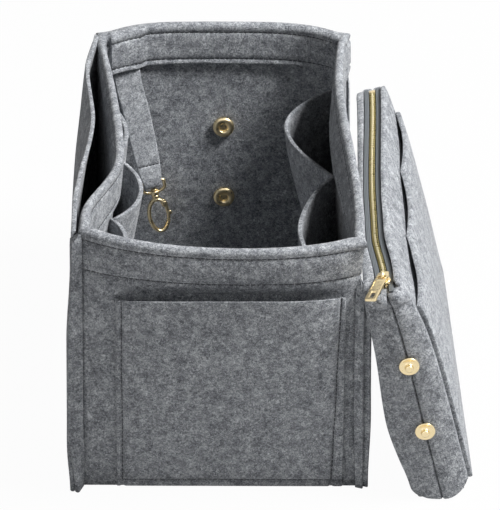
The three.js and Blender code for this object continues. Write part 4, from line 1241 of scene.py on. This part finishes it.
@dataclass
class ZipPouch:
    """The felt pouch that leans on the box: panels, gussets, slip pockets, studs and zip."""

    felt: float = 3.0
    gap: float = 0.3
    length: float = 242.0
    height: float = 152.0
    top_half: float = 8.5
    left_foot: float = 16.0
    right_foot: float = 19.0
    far_foot: float = 13.0
    shoulder_power: float = 6.0
    left_power: float = 2.0
    lean: float = math.radians(14)
    stand: float = 3.4
    ahead: float = 14.0
    side_margin: float = 5.5
    side_seam: float = 6.5
    seam_spare: float = 4.0
    gusset_drop: float = 3.6
    slip_drop: float = 20.0
    slip_foot: float = 4.0
    slip_margin: float = 7.0
    slip_inner: Pair = (-36.0, 40.0)
    slip_mouth: float = 3.0
    bulge: float = 5.2
    stud_heights: Pair = (97.0, 49.0)
    zip_depth: float = 2.4
    step: float = 4.5
    bow: Bow = Bow()

    def settle(self, box: FeltBox) -> None:
        """Stands the pouch beside the box."""
        self.half = self.length / 2
        x = box.width / 2 + self.stand + box.height * math.tan(self.lean)
        y = (self.length - box.length) / 2 - self.ahead
        self.at = Vector((x, y, self.left_foot * math.sin(self.lean)))
        self.frame = Matrix.Translation(self.at) @ Matrix.Rotation(-self.lean, 4, "Y")
        self.sewing = Sewing(Body.POUCH)
        self.box = box

    def left(self, z: float) -> float:
        """Returns how far the left side stands from the middle at a height."""
        return lerp(self.left_foot, self.top_half, clamp(z / self.height) ** self.left_power)

    def right(self, z: float, y: float) -> float:
        """Returns how far the right side stands from the middle at a height and a place along the pouch."""
        foot = lerp(self.right_foot, self.far_foot, clamp(y / self.length + 0.5))
        top = self.top_half - self.bow.at(y)
        return lerp(foot, top, clamp(z / self.height) ** self.shoulder_power)

    def soft_left(self, z: float, y: float) -> float:
        """Returns how far the left side's felt, which bulges towards the front, stands from the middle."""
        round_off = ease(z / 60) * (1 - 0.15 * clamp(z / self.height) ** 7) - 0.42 * hump(z - 106, 34)
        return self.left(z) + self.bulge * round_off * (1 - 0.6 * ease(2 * y / self.length + 0.1))

    def droop(self, x: float) -> float:
        """Returns how far the base sags down to the floor at a place across the leaning pouch."""
        return 0.22 * max(0.0, x + self.left_foot) * ease((self.right_foot - x) / self.left_foot)

    def face_x(self, z: float) -> float:
        """Returns where the leaning left face stands at a height of the box."""
        cos, sin, local = math.cos(self.lean), math.sin(self.lean), z
        for _ in range(6):
            local = min(self.height, max(0.0, (z - self.at.z + self.left(local) * sin) / cos))
        return self.at.x - self.left(local) * cos - local * sin

    def flange_reach(self, z: float) -> float:
        """Returns the reach of the box's front right flange, which gives way to the pouch."""
        box = self.box
        room = self.face_x(z) / box.draw_in(z) - box.width / 2 - self.gap
        return min(box.flange, room * math.sqrt(2) - self.felt - box.mitre / math.sqrt(2))

    def make_sides(self) -> None:
        """Makes the two side panels."""
        end_y, seam_y = self.half - self.side_margin, self.half - self.side_seam
        marks = [-seam_y, seam_y]
        for name, sign, drop in (("left", -1, 5), ("right", 1, 3)):

            def flat(y: float, z: float, w: float) -> Vector:
                thick = self.felt * pinch(y, marks)
                high, end = ease((z - self.height + 34) / 26), end_y - y
                y += 4 * high * clamp(1 - end / 40)
                half = self.soft_left(z, y) if sign < 0 else self.right(z, y)
                if sign < 0:
                    spare = (half - self.left(z)) * ease((z - self.height + 30) / 25)
                    thick += spare - self.bow.at(y) * high
                    z -= 0.4 * spare * (1 - w) * ease((z - self.height + 8) / 8)
                z -= drop * quarter(end / 9) * (z / self.height) ** 8
                z += 7 * ease((12 - self.half - y) / 12) * clamp(1 - z / 26)
                return Vector((sign * (half - w * thick), y, z))

            bm = felt_slab(stations(-end_y, end_y, self.step, marks), stations(0, self.height, self.step),
                           wavy(flat, 0.3))
            show_sheet(bm, f"felt_pouch_{name}_side", Body.POUCH, f"pouch_{name}_panel",
                       (self.length, self.height + self.seam_spare), Held.STRETCHED, "felt_pouch_base", self.frame)

    def make_ends(self) -> None:
        """Makes the base and the two end gussets; the front one has a middle seam and two rolled ends."""
        foot, top = self.felt + self.gap, self.height - self.gusset_drop
        shares = [-1, -0.94, -0.87, -0.79, -0.71, -0.68, -0.65, -0.62, -0.59, -0.5, -0.4, -0.3, -0.2, -0.1]
        shares += [-0.045, -0.022, 0, 0.022, 0.045, 0.1, 0.2, 0.3, 0.4, 0.52, 0.65, 0.78, 0.87, 0.94, 1]
        for name, sign in (("front", -1), ("back", 1)):

            def place(u: float, z: float, w: float) -> Vector:
                y = sign * self.half
                left, right = -self.soft_left(z, y) - 0.2, self.right(z, y) + 0.2
                middle = (self.right(z, y) - self.left(z)) / 2
                edge = left if u < 0 else right
                x = lerp(middle, edge, abs(u))
                off = x - middle
                lumps = sum(hump(off - shift, 4.6) for shift in (-5.2, 5.2)) * hump(z - top + 4.5, 5)
                crease = 2.2 * hump(off, 0.6) + 1.0 * hump(15 * (u + 0.65), 1.2)
                crease += 2.2 * hump(z - top + 10.5, 1.8) * hump(off, 12) - 4.2 * lumps
                corner = 7 * quarter(abs(x - edge) / 8) * clamp(1 - z / 26)
                out = self.half - crease * (1 - w) - 4.4 * abs(u) ** 2.2
                out -= w * (self.felt + 7 * ease((z - top + 9) / 9))
                sunk = self.droop(x) * clamp(1 - z / 40)
                return Vector((x, sign * out, z - sunk + corner + 1.4 * lumps * (1 - w)))

            bm = felt_slab(shares, stations(0, top, 3, [top - 10.5]), place, edge=1.4)
            if sign < 0:
                self.sewing.line(lambda z: on_face(place, 0, z, 0), foot + 5, top - 3)
            show_sheet(bm, f"felt_pouch_{name}_end", Body.POUCH, f"pouch_{name}_gusset",
                       (self.left_foot + self.right(0, sign * self.half), top), Held.STRETCHED, "felt_pouch_base",
                       self.frame)

        def floor(u: float, y: float, w: float) -> Vector:
            x = lerp(foot - self.left_foot, self.right(0, y) - foot, u)
            return Vector((x, y, w * self.felt - self.droop(x)))

        bm = felt_slab(spread(0, 1, 8), stations(self.felt - self.half, self.half - self.felt, 6), floor)
        show_sheet(bm, "felt_pouch_base", Body.POUCH, "pouch_base",
                   (self.left_foot + (self.right_foot + self.far_foot) / 2 - 2 * foot, self.length),
                   Held.LAID, "floor", self.frame)

    def make_slip_pockets(self) -> None:
        """Makes the strip of slip pockets on the right side and sews it down."""
        end, foot, top = self.half - self.slip_margin, self.slip_foot, self.height - self.slip_drop
        seams = (-end, *self.slip_inner, end)

        def flat(y: float, z: float, w: float) -> Vector:
            v = (z - foot) / (top - foot)
            open_by = bulge_at(y, seams, [self.slip_mouth] * 3, [1.0] * 3) * v ** 2
            open_by += 2.6 * math.sin(math.pi * v) * ease((60 - y) / 120) * ease((y + end) / 24)
            thick = self.felt * pinch(y, self.slip_inner)
            return Vector((self.right(z, y) + 0.1 + open_by + w * thick, y, z))

        place = wavy(flat, 0.3)
        bm = felt_slab(stations(-end, end, 4, self.slip_inner), stations(foot, top, self.step), place, edge=0.5)
        show_sheet(bm, "felt_pouch_slip_pockets", Body.POUCH, "pouch_slip_pocket",
                   (2 * end, top - foot), Held.STRETCHED, "felt_pouch_right_side", self.frame)
        for seam in self.slip_inner:
            self.sewing.line(lambda z: on_face(place, seam, z, 1), foot + 3, top - 1)

    def make_studs(self, fastener: PressFastener) -> None:
        """Sets the studs and their caps on the front gusset."""
        for name, z in zip(("upper", "lower"), self.stud_heights):
            spot = Vector(((self.right(z, -self.half) - self.left(z)) / 2, -self.half, z))
            turn = self.frame @ Matrix.Translation(spot) @ Matrix.Rotation(math.pi / 2, 4, "X")
            fastener.stud(f"{name}_press_stud", f"pouch_{name}_snap_stud", turn)
            fastener.back(f"{name}_press_stud_back", f"pouch_{name}_snap_back", Body.POUCH,
                          fastener.stud_radius, 1.6, turn)

    def build(self, fastener: PressFastener) -> None:
        """Builds the pouch's felt, its sewing, studs and zip."""
        self.make_sides()
        self.make_ends()
        self.make_slip_pockets()
        self.sewing.show("pouch_stitches", self.frame)
        self.make_studs(fastener)
        Zip(self.frame, self.height - self.zip_depth, self.length, self.bow).build()


@dataclass
class Zip:
    """The metal zip: tapes, two rows of teeth, stops, slider and pull."""

    frame: Matrix
    z: float
    pouch_length: float
    bow: Bow
    tape: float = 0.8
    tape_cut: float = 10.0
    tape_shown: float = 3.2
    tape_inner: float = 2.3
    tape_outer: float = 5.2
    tape_margin: float = 1.0
    tape_trim: float = 1.5
    pitch: float = 2.6
    tooth_height: float = 1.7
    chain_half: float = 2.0
    reach: float = 0.75
    spine: float = 0.9
    stop: float = 3.0
    slider_length: float = 12.0
    nose: float = 8.4
    neck: float = 6.8
    plate: float = 1.6
    bail: Pair = (1.6, 2.8)
    bail_width: float = 1.8
    bail_lift: float = 1.2
    pull_yaw: float = math.radians(20)
    pull_length: float = 25.0
    pull_width: float = 7.0
    pull_thick: float = 1.4
    gap: float = 0.3

    def __post_init__(self) -> None:
        """Works out the chain's place and the slider's frame."""
        self.half = self.pouch_length / 2 - self.tape_margin
        self.start = -self.half + self.slider_length / 2 + self.stop
        self.count = math.floor((self.half - 2 * self.stop - self.start) / self.pitch)
        self.end = self.start + self.count * self.pitch
        self.level = self.frame @ Matrix.Translation((0, 0, self.z))
        slide = self.start + self.slider_length / 2 - self.stop
        self.slider_frame = self.level @ Matrix.Translation((0, slide, 0))
        self.plate_low = self.tooth_height / 2 + self.gap
        self.bail_z = self.plate_low + self.plate + self.bail_lift

    def make_tapes(self) -> None:
        """Makes the two woven tapes."""
        long = 2 * self.half
        for name, sign in (("left", -1), ("right", 1)):

            def place(u: float, y: float, w: float) -> Vector:
                x = sign * lerp(self.tape_inner, self.tape_outer, u) - self.bow.at(y)
                return Vector((x, y, (w - 0.5) * self.tape))

            bm = felt_slab([0, 0.33, 0.67, 1], stations(-self.half, self.half - self.tape_trim, 6), place, edge=0.2)
            show_sheet(bm, f"woven_zip_{name}_tape", Body.POUCH, f"zip_{name}_tape", (self.tape_cut, long),
                       Held.STRETCHED, f"felt_pouch_{name}_side", self.level, TAPE,
                       area=self.tape_shown * MM * long * MM)

    def make_teeth(self) -> None:
        """Makes the rows of teeth with their spines, and the stops at both ends."""
        half, width = self.tooth_height / 2, (self.pitch / 2 - self.gap) / 2
        # The teeth carry a painted highlight along the chain's middle and painted shade at its sides
        brass = ToothFinish(
            "stamped_brass_teeth_painted_highlight", "pale_gold", 0.34, middle=tuple(self.level.translation.xy), bow=self.bow)
        for name, sign, phase in (("left", 1, 0.25), ("right", -1, 0.75)):
            spine = -sign * (self.chain_half - self.spine / 2)
            line = [Vector((spine - self.bow.at(y), y, 0)) for y in stations(self.start, self.end, 5)]
            bm = swept(line, (0, 0, 1), self.spine / 2, 0.6, segments=8)
            heads = sorted((-sign * (self.chain_half - 0.2), sign * self.reach))
            for k in range(self.count):
                middle = self.start + (k + phase) * self.pitch
                low, high = (x - self.bow.at(middle) for x in heads)
                bar(bm, (low, middle - width, -half), (high, middle + width, half), 0.25, segments=1)
            show(bm, f"zip_{name}_tooth_row", Body.POUCH, f"zip_{name}_teeth", self.level, brass, 30.0)
        near, far, side = self.start - self.gap, self.end + self.gap, self.chain_half
        stops = {"left_top": (-side, -self.gap, near - self.stop, near),
                 "right_top": (self.gap, side, near - self.stop, near),
                 "bottom": (-side, side, far, far + self.stop)}
        for name, (left, right, low, high) in stops.items():
            show(bar(bmesh.new(), (left, low, -half), (right, high, half), 0.3),
                 f"zip_{name}_clip", Body.POUCH, f"zip_{name}_stop", self.level, crease=30.0)

    def make_slider(self) -> None:
        """Makes the slider: a waisted plate with cheeks, and a round bail on top."""
        half, nose, neck = self.slider_length / 2, self.nose / 2, self.neck / 2
        outline = [(neck - 0.6, half), (neck, half - 0.6), (neck, 0.5), (neck + 0.3, -0.8), (nose - 0.1, -2.2),
                   (nose, -3.4), (nose - 0.5, -4.6), (nose - 1.5, -5.5), (nose - 3, -half)]
        outline += [(-x, y) for x, y in reversed(outline)]
        bm = bmesh.new()
        thicken(bm, [bm.faces.new([bm.verts.new((x, y, self.plate_low)) for x, y in outline])], self.plate)
        bmesh.ops.recalc_face_normals(bm, faces=bm.faces)
        bevel(bm, [e for e in bm.edges if abs(e.verts[0].co.z - e.verts[1].co.z) < 0.01], 0.5, 3)
        for sign in (-1, 1):
            low, high = sorted((sign * (self.chain_half + self.gap), sign * (neck - 0.1)))
            bar(bm, (low, 0.5 - half, self.tape / 2 + self.gap), (high, half - 0.4, self.plate_low + 0.4), 0.25)
        inner, outer = self.bail
        middle = (inner + outer) / 2
        arch = [Vector((0, middle * math.cos(a), self.bail_z + middle * math.sin(a))) for a in spread(0, math.pi, 14)]
        foot = Vector((0, 0, self.bail_lift + self.plate / 2))
        swept([arch[0] - foot, *arch, arch[-1] - foot], (1, 0, 0), (outer - inner) / 2, self.bail_width / 2, bm)
        show(bm, "zip_slider_body", Body.SLIDER, "zip_slider", self.slider_frame, crease=40.0)

    def make_pull(self) -> None:
        """Makes the pull: a tab with an eye, a sunk field inside a raised rim, and a slot at its free end."""
        half, top = self.pull_width / 2, 0.55
        tip = top - self.pull_length
        xs = [-half, -2.3, -1.3, 1.3, 2.3, half]
        ys = [tip, tip + 2.2, tip + 8.2, tip + 9.3, -4.85, -3.75, -0.55, top]
        slot, eye = (2, 1), [(1, 5), (2, 5), (3, 5)]
        bm, upper = slotted_plate(xs, ys, self.pull_thick / 2, [slot, *eye], 1.0, 0.22)
        sunk = [f for f in upper if ys[3] < f.calc_center_median().y < ys[4]]
        for thickness, depth in ((0.8, 0.0), (0.25, -0.25)):
            bmesh.ops.inset_region(bm, faces=sunk, thickness=thickness, depth=depth)
        turn = Matrix.Translation((0, 0, self.bail_z)) @ Matrix.Rotation(-self.pull_yaw, 4, "Z")
        show(bm, "zip_pull_tab", Body.PULL, "zip_pull", self.slider_frame @ turn, crease=35.0)

    def build(self) -> None:
        """Builds all pieces of the zip."""
        self.make_tapes()
        self.make_teeth()
        self.make_slider()
        self.make_pull()


# The studio


@dataclass
class Studio:
    """Plain pale floor, soft light from above and the right, and the camera."""

    frame_size: tuple[int, int] = (500, 510)
    camera_at: tuple[float, float, float] = (0.0249, -1.500, 1.0459)
    pitch: float = math.radians(32.61)
    yaw: float = math.radians(0.26)
    focal: float = 2838.0
    sensor: float = 36.0
    lamp_at: tuple[float, float, float] = (1.18, -0.1, 1.68)
    lamp_power: float = 64.0
    lamp_size: float = 0.6
    fill_at: tuple[float, float, float] = (-1.45, -1.75, 0.8)
    fill_power: float = 5.0
    fill_size: float = 1.2
    lit_point: tuple[float, float, float] = (0.0, 0.0, 0.1)
    sky: float = 0.13
    whiteness: float = 0.97

    def make_camera(self) -> None:
        """Sets the camera at the photograph's viewing angle."""
        data = bpy.data.cameras.new("camera")
        data.sensor_width = self.sensor
        data.lens = self.focal * self.sensor / max(self.frame_size)
        camera = put("camera", data)
        camera.location = self.camera_at
        camera.rotation_euler = (math.pi / 2 - self.pitch, 0, self.yaw)
        bpy.context.scene.camera = camera

    def seen(self, tree: Tree) -> Socket:
        """Returns a factor that is 1 for what the camera sees, directly or in a reflection."""
        path = add_node(tree, "LightPath").outputs
        seen = path["Is Camera Ray"]
        for way in ("Is Glossy Ray", "Is Transmission Ray"):
            seen = add_node(tree, "Math", {0: seen, 1: path[way]}, operation="MAXIMUM").outputs[0]
        return seen

    def make_floor(self) -> None:
        """Makes the floor: white to the eye, with the object's shadow kept in part."""
        made = bpy.data.materials.new("pale_studio_floor")
        made.use_nodes = True
        tree = made.node_tree
        tree.nodes.clear()
        matt = add_node(tree, "BsdfDiffuse", {"Color": linear("#c6c6c6")})
        white = add_node(tree, "Emission", {"Color": linear("#ffffff"), "Strength": 1.0})
        share = add_node(tree, "Math", {0: self.seen(tree), 1: self.whiteness}, operation="MULTIPLY")
        mix = add_node(tree, "MixShader", {0: share.outputs[0], 1: matt.outputs[0], 2: white.outputs[0]})
        add_node(tree, "OutputMaterial", {"Surface": mix.outputs[0]})
        bm = bmesh.new()
        bmesh.ops.create_grid(bm, x_segments=1, y_segments=1, size=4.0)
        floor = put("floor", settled(bm, "floor"))
        floor.data.materials.append(made)

    def make_light(self) -> None:
        """Makes the even surrounding light, the soft lamp at the right and the weak one in front."""
        world = bpy.data.worlds.new("studio")
        world.use_nodes = True
        tree = world.node_tree
        tree.nodes.clear()
        level = add_node(tree, "MapRange", {"Value": self.seen(tree), "To Min": self.sky, "To Max": 1.0})
        sky = add_node(tree, "Background", {"Color": linear("#ffffff"), "Strength": level.outputs[0]})
        add_node(tree, "OutputWorld", {"Surface": sky.outputs[0]})
        bpy.context.scene.world = world
        lamps = (("key_softbox", self.lamp_at, self.lamp_power, self.lamp_size),
                 ("front_fill", self.fill_at, self.fill_power, self.fill_size))
        for name, at, power, size in lamps:
            data = bpy.data.lights.new(name, "AREA")
            data.energy, data.size = power, size
            lamp = put(name, data)
            lamp.location = at
            lamp.rotation_euler = (Vector(self.lit_point) - Vector(at)).to_track_quat("-Z", "Y").to_euler()

    def build(self) -> None:
        """Builds the studio."""
        bpy.context.scene.view_settings.view_transform = "Standard"
        self.make_camera()
        self.make_floor()
        self.make_light()


def dress_springs() -> None:
    """Gives the small springs, whose solids are right as they are, their steel finish."""
    for name in ("upper_snap_spring", "lower_snap_spring", "clasp_gate_spring"):
        piece = frame["nodes"][name]
        piece.data.materials.clear()
        piece.data.materials.append(STEEL.material())


def main() -> None:
    """Builds the studio and every sub-assembly in order."""
    logging.basicConfig(level=logging.INFO, format="%(name)s %(message)s")
    noise.seed_set(NOISE_SEED)
    Studio().build()
    box, pouch, fastener = FeltBox(), ZipPouch(), PressFastener()
    pouch.settle(box)
    box.build(pouch.flange_reach, fastener)
    hinge = next(joint for joint in frame["joints"] if joint["name"] == "strap_swing")
    strap = KeyStrap(Vector(hinge["pos_m"]) / MM)
    strap.build()
    SwivelClasp(strap.clasp_frame).build()
    pouch.build(fastener)
    dress_springs()


if __name__ == "__main__":
    main()
